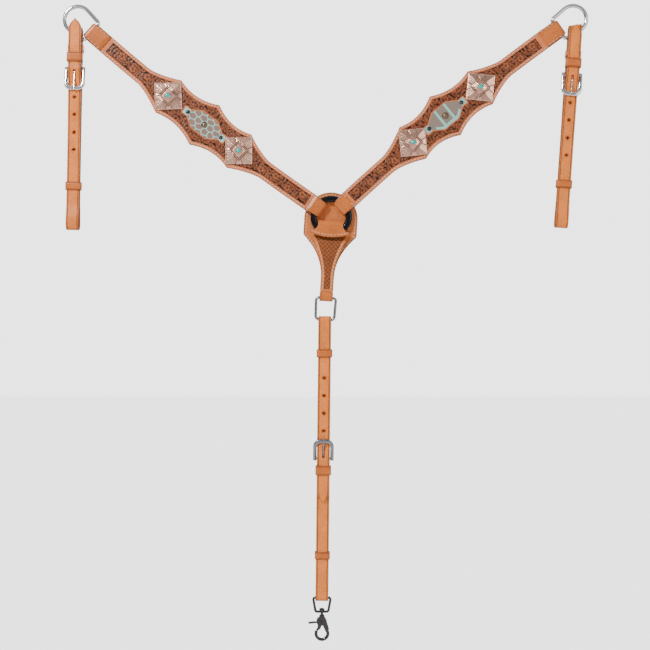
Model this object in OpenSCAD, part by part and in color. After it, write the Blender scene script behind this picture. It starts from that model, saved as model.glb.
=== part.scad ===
// Western breast collar: two scalloped, tooled arms and a drop sewn round a middle ring,
// a guard behind the ring, two buckled tug straps on dees, and a buckled centre strap
// with a trigger snap.  Millimetres, +Z up, the front faces -Y, and the origin is the
// centre of the middle ring.

/* [Leather] */
// Thickness of the straps and of the arms' top layer
leather = 3.0; // [2.6:0.1:3.2]
// Thickness of the linings and of the guard
lining = 2.6; // [2.2:0.1:2.8]
// Thickness of the loops that hold the rings
loop_leather = 2.8; // [2.4:0.1:2.8]
// Width of the tug straps and of the centre strap
strap_w = 18.8; // [18:0.1:19]

/* [Arms] */
// Distance along the left arm from the ring's centre to the dee's round end
left_reach = 465; // [460:1:470]
// Distance along the right arm from the ring's centre to the dee's round end
right_reach = 453; // [448:1:458]
// Height of the left arm above level at the ring, in degrees
left_angle = 34; // [33:0.5:36]
// Height of the right arm above level at the ring, in degrees
right_angle = 43.5; // [42:0.5:45]
// How far the left arm curves upwards along its length, in degrees
left_bend = 7.7; // [5:0.1:9]
// How far the right arm curves along its length, in degrees
right_bend = -8.5; // [-9:0.1:-5]
// Half of the arm's width where it is narrow
neck_half = 13.6; // [13.2:0.1:14]
// Half of the arm's width at the middle pair of points
mid_point_half = 36; // [34:0.5:38]
// Half of the arm's width at the two outer pairs of points
side_point_half = 30; // [29:0.5:32]
// Where the inner concho sits, as a share of the arm's reach
inner_concho_share = 0.352; // [0.348:0.001:0.356]
// Where the middle stud sits, as a share of the arm's reach
stud_share = 0.487; // [0.485:0.001:0.491]
// Where the outer concho sits, as a share of the arm's reach
outer_concho_share = 0.630; // [0.626:0.001:0.634]

/* [Conchos] */
// Side of a square concho
concho_side = 39; // [38:0.5:40]
// Height of a concho's pyramid above its rim
concho_rise = 5.2; // [4.5:0.1:6]
// Radius of a turquoise stone
stone_r = 3.7; // [3.4:0.1:4]

/* [Rings] */
// Outer radius of the middle ring
ring_outer = 30.1; // [29.8:0.1:30.6]
// Width of the middle ring's flat section
ring_section = 9.0; // [8.6:0.1:9.2]
// Thickness of the middle ring
ring_thick = 6.0; // [5.8:0.1:6]
// Wire radius of the dees
dee_wire = 2.9; // [2.7:0.1:2.9]
// Middle radius of a dee's round end
dee_round = 19.4; // [19:0.1:20]
// Wire radius of the lower ring
lower_wire = 2.0; // [1.8:0.1:2]

/* [Hanging] */
// Lean of the drop and the lower ring, in degrees
drop_lean = 3.5; // [3:0.1:4]
// Lean of the centre strap, in degrees
strap_lean = 0.6; // [0.2:0.1:1]
// Lean of the left tug, in degrees
left_lean = 1.0; // [0:0.1:2]
// Lean of the right tug, in degrees
right_lean = 4.0; // [2:0.1:4.5]
// How much lower the right tug's buckle sits than the left one's
right_slip = 11; // [8:1:12]

/* [Straps] */
// Spacing of the punched holes
hole_pitch = 25.4; // [24:0.1:26]
// Radius of a punched hole
hole_r = 2.2; // [2:0.1:2.4]
// Length of a tug from its dee to the end of its loop
tug_length = 283; // [280:1:286]
// Distance down the left tug from its dee to the buckle's bar
tug_buckle_at = 50.4; // [49:0.1:52]
// Height of the buckle's bar above the snap's dee on the centre strap
centre_buckle_at = 202.4; // [200:0.1:205]
// Length of the centre strap between the snap's dee and the lower ring
centre_length = 403; // [400:1:406]
// Length of a tug buckle's frame below its bar
tug_frame = 31; // [30:0.5:32]
// Length of the centre buckle's frame beyond its bar
centre_frame = 28.2; // [27.5:0.1:29]

/* [Hidden] */
$fn = 48;

// Sides: 0 is the left, 1 is the right, as seen from the front
LEFT = 0;
RIGHT = 1;
arm_angle = [left_angle, right_angle];
arm_bend = [left_bend, right_bend];
arm_reach = [left_reach, right_reach];
inner_at = arm_reach * inner_concho_share;
middle_at = arm_reach * stud_share;
outer_at = arm_reach * outer_concho_share;
tug_lean = [left_lean, right_lean];
tug_slip = [0, right_slip];
// Where a tug hangs, sideways from the centre of its dee's round end
tug_shift = [-2.5, 2.2];

// Gap between a ring's wire and the leather loop round it
ring_gap = 0.2;
layer_in = ring_thick / 2 + ring_gap;
layer_out = layer_in + loop_leather;
far = 2000;

tan_leather = "#c98a56";
plain_leather = "#c57f45";
tooled_leather = "#7a4526";
dark_steel = "#3a3d42";
bright_steel = "#c4c6c8";
black_nickel = "#2c2a2b";

// ---------- Plain geometry helpers ----------

function sgn(side) = side == LEFT ? -1 : 1;
function dist2(a, b) = sqrt(pow(b[0] - a[0], 2) + pow(b[1] - a[1], 2));
function lerp(a, b, t) = a + (b - a) * t;
function ease(t) = (1 - cos(180 * min(1, max(0, t)))) / 2;

// Direction of the outward normal of the line that touches circles a and b, [x, z, radius]
function touch_dir(a, b) = atan2(b[1] - a[1], b[0] - a[0]) - acos((a[2] - b[2]) / dist2(a, b));
function on_circle(c, angle) = [c[0] + c[2] * cos(angle), c[1] + c[2] * sin(angle)];
function wrap(angle) = angle - 360 * floor(angle / 360);

// Round wire bent once round a list of circles in the XZ plane, in counter-clockwise order
module wire_loop(circles, wire_r) {
    n = len(circles);
    rotate([90, 0, 0])
        for (i = [0:n - 1]) {
            before = circles[(i + n - 1) % n];
            here = circles[i];
            after = circles[(i + 1) % n];
            enter = touch_dir(before, here);
            leave = touch_dir(here, after);
            from = on_circle(here, leave);
            to = on_circle(after, leave);
            translate([here[0], here[1], 0])
                rotate([0, 0, enter])
                    rotate_extrude(angle = wrap(leave - enter))
                        translate([here[2], 0])
                            circle(wire_r);
            // straight run, with a hair-thin band over the joint at each end
            translate([from[0], from[1], 0])
                rotate([0, 0, leave + 90])
                    rotate([0, 90, 0]) {
                        translate([0, 0, 0.1])
                            cylinder(h = dist2(from, to) - 0.2, r = wire_r);
                        for (h = [0, dist2(from, to)])
                            translate([0, 0, h])
                                cylinder(h = 0.6, r = wire_r + 0.05, center = true);
                    }
        }
}

// Outline with round corners, from circles in counter-clockwise order
module rounded_outline(circles) {
    n = len(circles);
    for (c = circles)
        translate([c[0], c[1]])
            circle(c[2]);
    polygon([for (i = [0:n - 1]) let (a = touch_dir(circles[i], circles[(i + 1) % n]))
        for (p = [on_circle(circles[i], a), on_circle(circles[(i + 1) % n], a)]) p]);
}

// A flat plate with its outline in the XZ plane, filling y0 to y1
module plate(y0, y1) {
    translate([0, y1, 0])
        rotate([90, 0, 0])
            linear_extrude(y1 - y0)
                children();
}

// A band of a given width along X, with its profile drawn as [y, z]
module band(width) {
    translate([-width / 2, 0, 0])
        rotate([90, 0, 90])
            linear_extrude(width)
                children();
}

// ---------- Middle ring, guard and drop ----------

module centre_ring() {
    half = ring_section / 2 - ring_thick / 2;
    color(dark_steel)
        rotate([90, 0, 0])
            rotate_extrude()
                translate([ring_outer - ring_section / 2, 0]) {
                    square([2 * half, ring_thick], center = true);
                    for (side = [-1, 1])
                        translate([side * half, 0])
                            circle(ring_thick / 2);
                }
}

module drop_frame() {
    rotate([0, drop_lean, 0])
        children();
}

guard_r = 39;
guard_straight_to = -24;
guard_flank_from = -30.5;
guard_tail_half = 9.6;
guard_end = -108;
function guard_half(z) =
    let (s = min(1, (guard_flank_from - z) / 60))
        guard_tail_half + 26.4 * pow(1 - s, 2.2);

// Egg-shaped guard: round top, straight sides, round shoulders and a tail
module guard_outline(inset) {
    zs = [for (i = [0:14]) lerp(guard_flank_from, guard_end, i / 14)];
    r = guard_r - inset;
    shoulder_r = 9;
    edge = concat([for (i = [0:12]) [r * sin(i * 7.5), r * cos(i * 7.5) - 3.2]],
        [for (i = [0:3]) [r - shoulder_r * (1 - cos(i * 12)),
            guard_straight_to - shoulder_r * sin(i * 12)]],
        [for (z = zs) [guard_half(z) - inset, z + inset]]);
    last = len(edge) - 1;
    polygon(concat(edge, [for (i = [last:-1:1]) [-edge[i][0], edge[i][1]]]));
}

guard_front = layer_out + 0.4;
tail_back = 3.0;
guard_bend_from = -36;
guard_bend_to = -50;

// Side profile of the guard and its lining: flat behind the ring, then forward to the tail
module guard_profile(front, thick) {
    drop_in = guard_front - tail_back - 0.3;
    steps = 6;
    path = concat([[front, 45]],
        [for (i = [0:steps]) [front - drop_in * ease(i / steps),
            lerp(guard_bend_from, guard_bend_to, i / steps)]],
        [[front - drop_in, guard_end - 5]]);
    polygon(concat(path, [for (i = [len(path) - 1:-1:0]) [path[i][0] + thick, path[i][1]]]));
}

module ring_guard() {
    color(tan_leather)
        drop_frame()
            intersection() {
                band(200)
                    guard_profile(guard_front, lining);
                plate(-20, 30)
                    guard_outline(0);
            }
}

module guard_lining() {
    color("#8a5a38")
        drop_frame()
            intersection() {
                band(200)
                    guard_profile(guard_front + lining, 2);
                plate(-20, 30)
                    guard_outline(1);
            }
}

drop_fold_top = -5.9;
drop_fold_half = 18;
drop_flare_half = 29.4;
drop_flare_z = -25;
drop_tail_half = 9;
drop_end = -110;
function drop_half(z) =
    z > drop_flare_z
        ? let (s = max(0, (drop_fold_top - z) / (drop_fold_top - drop_flare_z)))
            lerp(drop_fold_half, drop_flare_half, pow(s, 1.7))
        : let (s = min(1, (drop_flare_z - z) / 62))
            drop_tail_half + (drop_flare_half - drop_tail_half) * pow(1 - s, 1.8);

module drop_outline() {
    zs = concat([for (i = [0:8]) lerp(drop_fold_top + 0.01, drop_flare_z, i / 8)],
        [for (i = [1:16]) lerp(drop_flare_z, drop_end, i / 16)]);
    last = len(zs) - 1;
    polygon(concat([for (z = zs) [drop_half(z), z]],
        [for (i = [last:-1:0]) [-drop_half(zs[i]), zs[i]]]));
}

// The drop's leather runs up behind the ring, folds over its inner edge and comes
// down in front, where its arc-shaped end is sewn to the tooled face
module centre_drop() {
    fold_z = drop_fold_top - layer_out;
    below = -31.6;
    tail_top = -39;
    tail_front = tail_back - leather;
    color(tooled_leather)
        drop_frame()
            intersection() {
                union() {
                    // fold over the ring
                    translate([0, 0, fold_z])
                        rotate([0, 90, 0])
                            difference() {
                                cylinder(h = 80, r = layer_out, center = true);
                                cylinder(h = 90, r = layer_in, center = true);
                                translate([20, 0, 0])
                                    cube([40, 40, 90], center = true);
                            }
                    // front layer, with its arc-shaped end
                    intersection() {
                        band(80)
                            polygon([[-layer_out, fold_z], [-layer_in, fold_z],
                                [-layer_in, below], [tail_front - 0.2, tail_top + 2],
                                [tail_front - 0.2, tail_top], [tail_front - 1.2, tail_top],
                                [-layer_out, below]]);
                        plate(-20, 20)
                            translate([0, 45.5])
                                circle(76, $fn = 96);
                    }
                    // back layer and tail
                    band(80)
                        polygon([[layer_in, fold_z], [layer_out, fold_z], [layer_out, below],
                            [tail_back, tail_top], [tail_back, drop_end],
                            [tail_front, drop_end], [tail_front, tail_top], [layer_in, below]]);
                }
                plate(-20, 20)
                    drop_outline();
            }
}

lower_bar_z = -118.2;

// A plain loop sewn to the drop's end, folded round the lower ring's top bar
module drop_ring_loop() {
    gap = lower_wire + 0.25;
    top = -109.6;
    outer = gap + loop_leather;
    centre_y = tail_back - leather / 2;
    color(plain_leather)
        drop_frame()
            intersection() {
                translate([0, centre_y, lower_bar_z]) {
                    difference() {
                        rotate([0, 90, 0])
                            cylinder(h = strap_w + 0.6, r = outer, center = true);
                        rotate([0, 90, 0])
                            cylinder(h = 60, r = gap, center = true);
                        translate([0, 0, 20])
                            cube([60, 40, 40], center = true);
                    }
                    for (side = [-1, 1])
                        translate([-(strap_w + 0.6) / 2, side < 0 ? -outer : gap, 0])
                            cube([strap_w + 0.6, loop_leather, top - lower_bar_z]);
                }
                translate([0, 0, -115])
                    cube([60, 60, 60], center = true);
            }
}

// The lower ring hangs in the drop's loop
lower_drop = 31.6;
module lower_ring() {
    corner = 3.4;
    half = 14.2;
    low_corner = 5.2;
    color(dark_steel)
        drop_frame()
            translate([0, tail_back - leather / 2, lower_bar_z])
                wire_loop([[half - corner, -corner, corner],
                    [corner - half, -corner, corner],
                    [low_corner - half + 0.6, low_corner - lower_drop, low_corner],
                    [half - low_corner - 0.6, low_corner - lower_drop, low_corner]], lower_wire);
}

// ---------- Arms ----------

function heading(side, u) = arm_angle[side] + arm_bend[side] * u / arm_reach[side];
function arm_xz(side, u, v = 0) =
    let (rate = arm_bend[side] / arm_reach[side] * PI / 180, h = heading(side, u), a = arm_angle[side])
        [sgn(side) * ((sin(h) - sin(a)) / rate - v * sin(h)), (cos(a) - cos(h)) / rate + v * cos(h)];

flank = 48;
valley = 7.2;
// Half of the arm's width at distance u from the ring: three points on each edge,
// with hollows between them and sweeping flanks at both ends
function point_between(u, u0, h0, u1, h1) =
    let (s = (u - u0) / (u1 - u0)) lerp(h0, h1, s) - valley * 4 * s * (1 - s);
function sweep(distance) =
    neck_half + (side_point_half - neck_half) * pow(max(0, 1 - distance / flank), 1.5);
function arm_half(side, u) =
    let (a = inner_at[side], b = middle_at[side], c = outer_at[side])
        u < a ? sweep(a - u)
            : u < b ? point_between(u, a, side_point_half, b, mid_point_half)
            : u < c ? point_between(u, b, mid_point_half, c, side_point_half)
            : sweep(u - c);

arm_start = 31.2;
bar_back = 26;
arm_end = arm_reach - [1, 1] * (bar_back + dee_wire + 0.7);
// Distances along the arm at which the outline is drawn
function steps_between(a, b, n) = [for (i = [1:n]) lerp(a, b, i / n)];
function arm_us(side) =
    let (a = inner_at[side], b = middle_at[side], c = outer_at[side])
        concat([arm_start], steps_between(arm_start, a - flank, 3), steps_between(a - flank, a, 8),
            steps_between(a, b, 8), steps_between(b, c, 8), steps_between(c, c + flank, 8),
            steps_between(c + flank, arm_end[side], 3));

module arm_outline(side) {
    us = arm_us(side);
    polygon(concat([for (u = us) arm_xz(side, u, arm_half(side, u))],
        [for (i = [len(us) - 1:-1:0]) arm_xz(side, us[i], -arm_half(side, us[i]))]));
}

// Places children on an arm: local X runs outwards along it and local Z across it
module on_arm(side, u) {
    p = arm_xz(side, u);
    translate([p[0], 0, p[1]])
        mirror([side == LEFT ? 1 : 0, 0, 0])
            rotate([0, -heading(side, u), 0])
                children();
}

// The window that the inlay shows through: a long hexagon with a narrow neck at each end
window_half = 37;
module window_outline(inset) {
    half = window_half - inset;
    wide = 15 - inset;
    neck = 5 - inset;
    polygon([[-half, -neck], [-28, -neck], [-13, -wide], [13, -wide], [28, -neck],
        [half, -neck], [half, neck], [28, neck], [13, wide], [-13, wide], [-28, neck],
        [-half, neck]]);
}

post_r = 2.4;
stud_post_r = 1.5;
spot_at = 30;
inlay_front = -2.4;

module post_holes(side) {
    for (u = [inner_at[side], outer_at[side]])
        on_arm(side, u)
            rotate([90, 0, 0])
                cylinder(h = 40, r = post_r + 0.05, center = true);
    on_arm(side, middle_at[side])
        rotate([90, 0, 0])
            cylinder(h = 40, r = stud_post_r + 0.05, center = true);
}

module arm_top(side) {
    color(tooled_leather)
        difference() {
            plate(-leather, 0)
                arm_outline(side);
            on_arm(side, middle_at[side])
                plate(-20, 20)
                    window_outline(0);
            post_holes(side);
        }
}

module arm_lining(side) {
    color(tan_leather)
        difference() {
            plate(0, leather)
                arm_outline(side);
            post_holes(side);
        }
}

module inlay(side) {
    color(side == LEFT ? "#c9a79a" : "#a99a8c")
        on_arm(side, middle_at[side])
            difference() {
                plate(inlay_front, 0)
                    window_outline(0.2);
                rotate([90, 0, 0])
                    cylinder(h = 40, r = stud_post_r + 0.05, center = true);
                for (s = [-1, 1])
                    translate([s * spot_at, 0, 0])
                        rotate([90, 0, 0])
                            cylinder(h = 40, r = 1.05, center = true);
            }
}

// A low dome of base radius r and height h that stands on y = 0 and faces forwards
module dome(r, h) {
    ball = (r * r + h * h) / (2 * h);
    rotate([90, 0, 0])
        intersection() {
            translate([0, 0, h - ball])
                sphere(ball, $fn = 64);
            cylinder(h = h + 1, r = r + 1);
        }
}

module inlay_spots(side) {
    color("#26242a")
        for (s = [-1, 1])
            on_arm(side, middle_at[side])
                translate([s * spot_at, inlay_front, 0]) {
                    dome(3.3, 2.2);
                    rotate([-90, 0, 0])
                        cylinder(h = -inlay_front, r = 1);
                }
}

module stud(side) {
    color("#6b5a45")
        on_arm(side, middle_at[side]) {
            translate([0, inlay_front, 0]) {
                dome(4.9, 3.0);
                rotate([-90, 0, 0])
                    cylinder(h = leather - inlay_front + 0.1, r = stud_post_r);
            }
            translate([0, leather + 0.1, 0])
                rotate([-90, 0, 0])
                    cylinder(h = 1.2, r = 4);
        }
}

concho_turn = [[0, 2], [6, -6]];
concho_rim = 1.4;
concho_top = concho_rise * 0.86;

// Places children on a concho's centre, on the arm's face, squared up and facing forwards
module on_concho(side, outer) {
    p = arm_xz(side, outer ? outer_at[side] : inner_at[side]);
    translate([p[0], -leather, p[1]])
        rotate([90, 0, 0])
            rotate([0, 0, concho_turn[side][outer ? 1 : 0]])
                children();
}

module concho(side, outer) {
    flat = concho_side * (1 - concho_top / concho_rise);
    color("#b58b78")
        on_concho(side, outer) {
            translate([0, 0, concho_rim / 2])
                cube([concho_side, concho_side, concho_rim], center = true);
            translate([0, 0, concho_rim])
                rotate([0, 0, 45])
                    cylinder(h = concho_top, r1 = (concho_side - 1) / sqrt(2),
                        r2 = (flat + 3) / sqrt(2), $fn = 4);
            translate([0, 0, concho_rim + concho_top - 1])
                cylinder(h = 1.8, r = stone_r + 0.7);
        }
}

module stone(side, outer) {
    color("#3fc0b4")
        on_concho(side, outer)
            translate([0, 0, concho_rim + concho_top + 0.8])
                rotate([-90, 0, 0])
                    dome(stone_r, 1.9);
}

module concho_screws(side) {
    back = 2 * leather;
    color("#9a9a98")
        for (outer = [false, true])
            on_concho(side, outer)
                translate([0, 0, -back]) {
                    cylinder(h = back, r = post_r);
                    translate([0, 0, -1.4])
                        cylinder(h = 1.4, r = 5.2);
                }
}

// A U-shaped loop: fold centre at x0, open towards +X, as long as x1, with a half width
// at the fold and one at the open end
module u_loop(x0, x1, inner, half0, half1) {
    outer = inner + loop_leather;
    intersection() {
        translate([0, 0, -50])
            linear_extrude(100)
                difference() {
                    union() {
                        translate([x0, 0])
                            circle(outer);
                        translate([x0, -outer])
                            square([x1 - x0, 2 * outer]);
                    }
                    translate([x0, 0])
                        circle(inner);
                    translate([x0, -inner])
                        square([x1 - x0 + 1, 2 * inner]);
                }
        plate(-20, 20)
            polygon([[x0 - outer - 1, -half0], [x0, -half0], [x1, -half1], [x1, half1],
                [x0, half0], [x0 - outer - 1, half0]]);
    }
}

ring_loop_fold = 20.4;
module ring_loop(side) {
    color(plain_leather)
        mirror([side == LEFT ? 1 : 0, 0, 0])
            rotate([0, -heading(side, 25), 0])
                u_loop(ring_loop_fold, 36, layer_in, 11.8, 13.2);
}

dee_loop_half = 12.5;
module dee_loop(side) {
    inner = dee_wire + 0.3;
    outer = inner + loop_leather;
    cut = 3;
    color(plain_leather)
        on_arm(side, arm_reach[side])
            translate([-bar_back, 0, 0])
                intersection() {
                    mirror([1, 0, 0])
                        u_loop(0, 24, inner, dee_loop_half, dee_loop_half + 0.6);
                    plate(-20, 20)
                        polygon([[outer - cut, -dee_loop_half], [-30, -20], [-30, 20],
                            [outer - cut, dee_loop_half], [outer, dee_loop_half - cut],
                            [outer, cut - dee_loop_half]]);
                }
}

// ---------- Dees ----------

dee_corner = 4;
dee_corner_x = dee_corner - bar_back;
dee_corner_z = 13.2;
dee_round_end = [0, 0, dee_round];
dee_low_corner = [dee_corner_x, -dee_corner_z, dee_corner];

module dee(side) {
    color(bright_steel)
        on_arm(side, arm_reach[side])
            wire_loop([dee_round_end, [dee_corner_x, dee_corner_z, dee_corner], dee_low_corner],
                dee_wire);
}

// The dee's lower leg, on which the tug hangs, as two points in the world's XZ plane
function dee_to_world(side, p) =
    let (h = heading(side, arm_reach[side]))
        arm_xz(side, arm_reach[side]) + [sgn(side) * (p[0] * cos(h) - p[1] * sin(h)),
            p[0] * sin(h) + p[1] * cos(h)];
leg_dir = touch_dir(dee_low_corner, dee_round_end);
function leg_out(side) = dee_to_world(side, on_circle(dee_round_end, leg_dir));
function leg_in(side) = dee_to_world(side, on_circle(dee_low_corner, leg_dir));
// The strap's fold stands clear above the sloping leg, and slopes less than it does
fold_rise = 6.6;
fold_slant = 12;
function hang_point(side) =
    let (x = arm_xz(side, arm_reach[side])[0] + tug_shift[side], a = leg_out(side), b = leg_in(side))
        [x, a[1] + (x - a[0]) * (b[1] - a[1]) / (b[0] - a[0])];

module tug_frame_at(side) {
    p = hang_point(side);
    translate([p[0], 0, p[1]])
        rotate([0, tug_lean[side], 0])
            children();
}

// ---------- Buckled straps ----------
// Each one is a closed loop drawn from the fold that holds its ring, at the origin,
// down to the far fold: back layer, front layer with holes, tip and buckle chape.
// Numbers are distances down from the origin.

chape_y = -layer_in - leather / 2;
bar_y = chape_y;
bar_r = 1.7;
chape_skive = 2.0;
over_bar_y = bar_y - bar_r - 0.1 - chape_skive - 0.2 - leather / 2;
tip_y = -layer_in - leather - 1.8 - leather / 2;
frame_tilt = 8.6;
tongue_hole_below = 14.5;
hole_count = 4;
keeper_gap_half = 1.4;

// Half of the gap between the front and back layers: as wide as the ring's fold as far
// as shut_d, closed up from there to the sliding keeper, and open again at the far fold
function gap_half(d, length, far_r, shut_d) =
    d < shut_d ? layer_in
        : d < shut_d + 60 ? lerp(layer_in, keeper_gap_half, ease((d - shut_d) / 60))
        : d < length - 42 ? keeper_gap_half
        : lerp(keeper_gap_half, far_r, ease((d - length + 42) / 28));

function front_y(d, bar_d, frame_l, length, far_r) =
    let (end = bar_d + frame_l - 9,
            low = -gap_half(d, length, far_r, bar_d + frame_l + 4) - leather / 2)
        d > end ? low
            : d > bar_d ? lerp(over_bar_y, low, (d - bar_d) / (end - bar_d))
            : lerp(over_bar_y, tip_y, ease((bar_d - d) / 7));

module layer_polygon(ds, ys) {
    last = len(ds) - 1;
    polygon(concat([for (i = [0:last]) [ys[i] - leather / 2, -ds[i]]],
        [for (i = [last:-1:0]) [ys[i] + leather / 2, -ds[i]]]));
}

// Pointed end of a strap, drawn upwards to -tip_d
module tip_outline(tip_d, bottom_d) {
    point = 15;
    steps = 7;
    half = strap_w / 2;
    side = [for (i = [0:steps]) [half * (1 - pow(i / steps, 1.9)), -tip_d - point * (1 - i / steps)]];
    polygon(concat([[-half, -bottom_d], [half, -bottom_d]], side,
        [for (i = [steps - 1:-1:0]) [-side[i][0], side[i][1]]]));
}

// A fold of leather with its centre at the origin and short legs, drawn as [y, z]
module fold_profile(inner, leg, thick = leather) {
    difference() {
        union() {
            circle(inner + thick);
            translate([-inner - thick, -leg])
                square([2 * (inner + thick), leg]);
        }
        circle(inner);
        translate([-inner, -leg - inner - thick])
            square([2 * inner, leg + inner + thick]);
    }
}

module strap_loop(bar_d, tip_d, frame_l, length, far_r, slope, rise) {
    fold_d = length - leather - far_r;
    end = bar_d + frame_l - 9;
    shut = bar_d + frame_l + 4;
    far_ds = concat([for (i = [0:7]) length - 42 + 4 * i], [fold_d - 1]);
    shut_ds = [for (i = [0:8]) lerp(shut, shut + 60, i / 8)];
    back_ds = concat([-14], shut_ds, far_ds);
    front_ds = concat([tip_d], [for (i = [0:4]) bar_d - 7 + i * 7 / 4], [end], shut_ds, far_ds);
    difference() {
        union() {
            // back layer and chape
            intersection() {
                union() {
                    band(strap_w)
                        layer_polygon(back_ds,
                            [for (d = back_ds) gap_half(d, length, far_r, shut) + leather / 2]);
                    band(strap_w)
                        layer_polygon([-14, bar_d], [chape_y, chape_y]);
                    translate([0, bar_y, -bar_d])
                        rotate([0, 90, 0])
                            cylinder(h = strap_w, r = bar_r + 0.1 + chape_skive, center = true);
                }
                translate([0, 0, rise - 3])
                    rotate([0, -slope, 0])
                        translate([0, 0, -far / 2])
                            cube([far, far, far], center = true);
            }
            // fold over the wire, on top of them
            intersection() {
                translate([0, 0, rise])
                    rotate([0, -slope, 0])
                        band(60)
                            fold_profile(layer_in - 0.03, 9, leather + 0.06);
                cube([strap_w, 40, 80], center = true);
            }
            // far fold
            translate([0, 0, -fold_d])
                rotate([180, 0, 0])
                    band(strap_w)
                        fold_profile(far_r, 4);
            // front layer with its pointed end
            intersection() {
                band(strap_w)
                    layer_polygon(front_ds,
                        [for (d = front_ds) front_y(d, bar_d, frame_l, length, far_r)]);
                plate(-40, 40)
                    tip_outline(tip_d, length + 10);
            }
        }
        // bore for the buckle's bar, and the slot that its tongue turns in
        translate([0, bar_y, -bar_d])
            rotate([0, 90, 0])
                cylinder(h = 60, r = bar_r + 0.1, center = true);
        translate([0, bar_y - 0.3, -bar_d - 1.4])
            cube([4.6, 7.8, 9.2], center = true);
        // the hole that the tongue has pulled long
        translate([0, -10, -bar_d])
            plate(-8, 8.9)
                rounded_outline([[0, -2.4, 1.8], [0, -tongue_hole_below - 3, 1.8]]);
        for (k = [1:hole_count])
            translate([0, -6, -bar_d - tongue_hole_below - k * hole_pitch])
                rotate([90, 0, 0])
                    cylinder(h = 11, r = hole_r, center = true);
    }
}

// Cast frame below its bar, tilted so that its round end clears the strap
module buckle_frame(bar_d, frame_l) {
    outer_r = 11;
    inner_r = 7;
    outer_half = 15;
    inner_half = 10;
    top_r = 3.4;
    rim = 6.3;
    translate([0, bar_y, -bar_d])
        rotate([-frame_tilt, 0, 0]) {
            difference() {
                plate(-1.5, 1.5)
                    rounded_outline([[outer_half - top_r, 0, top_r], [top_r - outer_half, 0, top_r],
                        [outer_r - outer_half, outer_r - frame_l, outer_r],
                        [outer_half - outer_r, outer_r - frame_l, outer_r]]);
                plate(-4, 4)
                    rounded_outline([[inner_half - 1, 6, 1], [1 - inner_half, 6, 1],
                        [inner_r - inner_half, inner_r + rim - frame_l, inner_r],
                        [inner_half - inner_r, inner_r + rim - frame_l, inner_r]]);
            }
            rotate([0, 90, 0])
                cylinder(h = 2 * inner_half + 4, r = bar_r, center = true);
        }
}

// Tongue: an eye round the bar and a round rod that rests on the frame's end
module buckle_tongue(bar_d, frame_l) {
    rod_r = 1.25;
    lean = 10.5;
    start_y = -2.9;
    translate([0, bar_y, -bar_d]) {
        difference() {
            union() {
                rotate([0, 90, 0])
                    cylinder(h = 3.6, r = 3.0, center = true);
                translate([0, start_y + 0.6, -0.6])
                    rotate([-lean, 0, 0])
                        translate([0, 0, -(frame_l - 1.2)]) {
                            cylinder(h = frame_l - 1.2, r = rod_r);
                            sphere(rod_r);
                        }
            }
            rotate([0, 90, 0])
                cylinder(h = 20, r = bar_r + 0.05, center = true);
        }
    }
}

// A leather keeper round whatever lies between y0 and y1
module keeper_at(d, y0, y1, height, thick) {
    r = 1.2;
    half = strap_w / 2 + 0.25;
    translate([0, 0, -d - height / 2])
        linear_extrude(height)
            difference() {
                rounded_outline([for (c = [[1, 1], [-1, 1], [-1, -1], [1, -1]])
                    [c[0] * (half + thick - r - thick), c[1] > 0 ? y1 - r : y0 + r, r + thick]]);
                rounded_outline([for (c = [[1, 1], [-1, 1], [-1, -1], [1, -1]])
                    [c[0] * (half - 0.4), c[1] > 0 ? y1 - 0.4 : y0 + 0.4, 0.4]]);
            }
}

upper_keeper_below = 17;
upper_keeper_h = 13.4;
rear_keeper_h = 10;
slide_keeper_h = 11.6;
keeper_leather = 1.8;
front_edge = tip_y - leather / 2 - 0.2;

module upper_keeper(bar_d) {
    color("#b96c34")
        keeper_at(bar_d - upper_keeper_below, front_edge, -layer_in + 0.2, upper_keeper_h,
            keeper_leather);
}

module rear_keeper(d) {
    color("#b96c34")
        keeper_at(d, -layer_in - leather - 0.2, layer_in + leather + 0.2, rear_keeper_h, 1.4);
}

module slide_keeper(d) {
    half = keeper_gap_half + leather + 0.2;
    color("#b96c34")
        keeper_at(d, -half, half, slide_keeper_h, keeper_leather);
}

function tug_bar(side) = tug_buckle_at + tug_slip[side];
function tug_tip(side) = tug_slip[side] - 22.4;
tug_far_r = 5;
tug_slide_at = 219;
function rear_keeper_d(side) = tug_bar(side) - upper_keeper_below - 13.6;

module tug_strap(side) {
    color(tan_leather)
        tug_frame_at(side)
            strap_loop(tug_bar(side), tug_tip(side), tug_frame, tug_length, tug_far_r,
                sgn(side) * fold_slant, fold_rise);
}

// The centre strap is the same loop upside down, with its buckle chape on the snap's dee
lower_hold = [-(lower_drop - lower_bar_z) * sin(drop_lean), -(lower_drop - lower_bar_z) * cos(drop_lean)];
centre_far_r = 3.5;
centre_y = tail_back - leather / 2;
module centre_frame_at() {
    translate([lower_hold[0], centre_y, lower_hold[1]])
        rotate([0, strap_lean, 0])
            translate([0, 0, -centre_length])
                mirror([0, 0, 1])
                    children();
}
centre_loop = centre_length + lower_wire + 0.6 + leather;
centre_tip = centre_buckle_at - 62.6;
centre_lower_at = 61.5;
centre_top_at = 354.3;

module centre_strap() {
    color(tan_leather)
        centre_frame_at()
            translate([0, 0, -1])
                strap_loop(centre_buckle_at - 1, centre_tip - 1, centre_frame, centre_loop - 1,
                    centre_far_r, 0, 0);
}

// ---------- Trigger snap ----------

snap_wire = 1.9;
snap_bar = [lower_hold[0] - centre_length * sin(strap_lean),
    lower_hold[1] - centre_length * cos(strap_lean)];
module snap_frame() {
    translate([snap_bar[0], centre_y, snap_bar[1]])
        children();
}

stem_r = 2.05;
boss_top = -17.8;
boss_foot = -24.9;
hook_top = -25.1;

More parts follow.
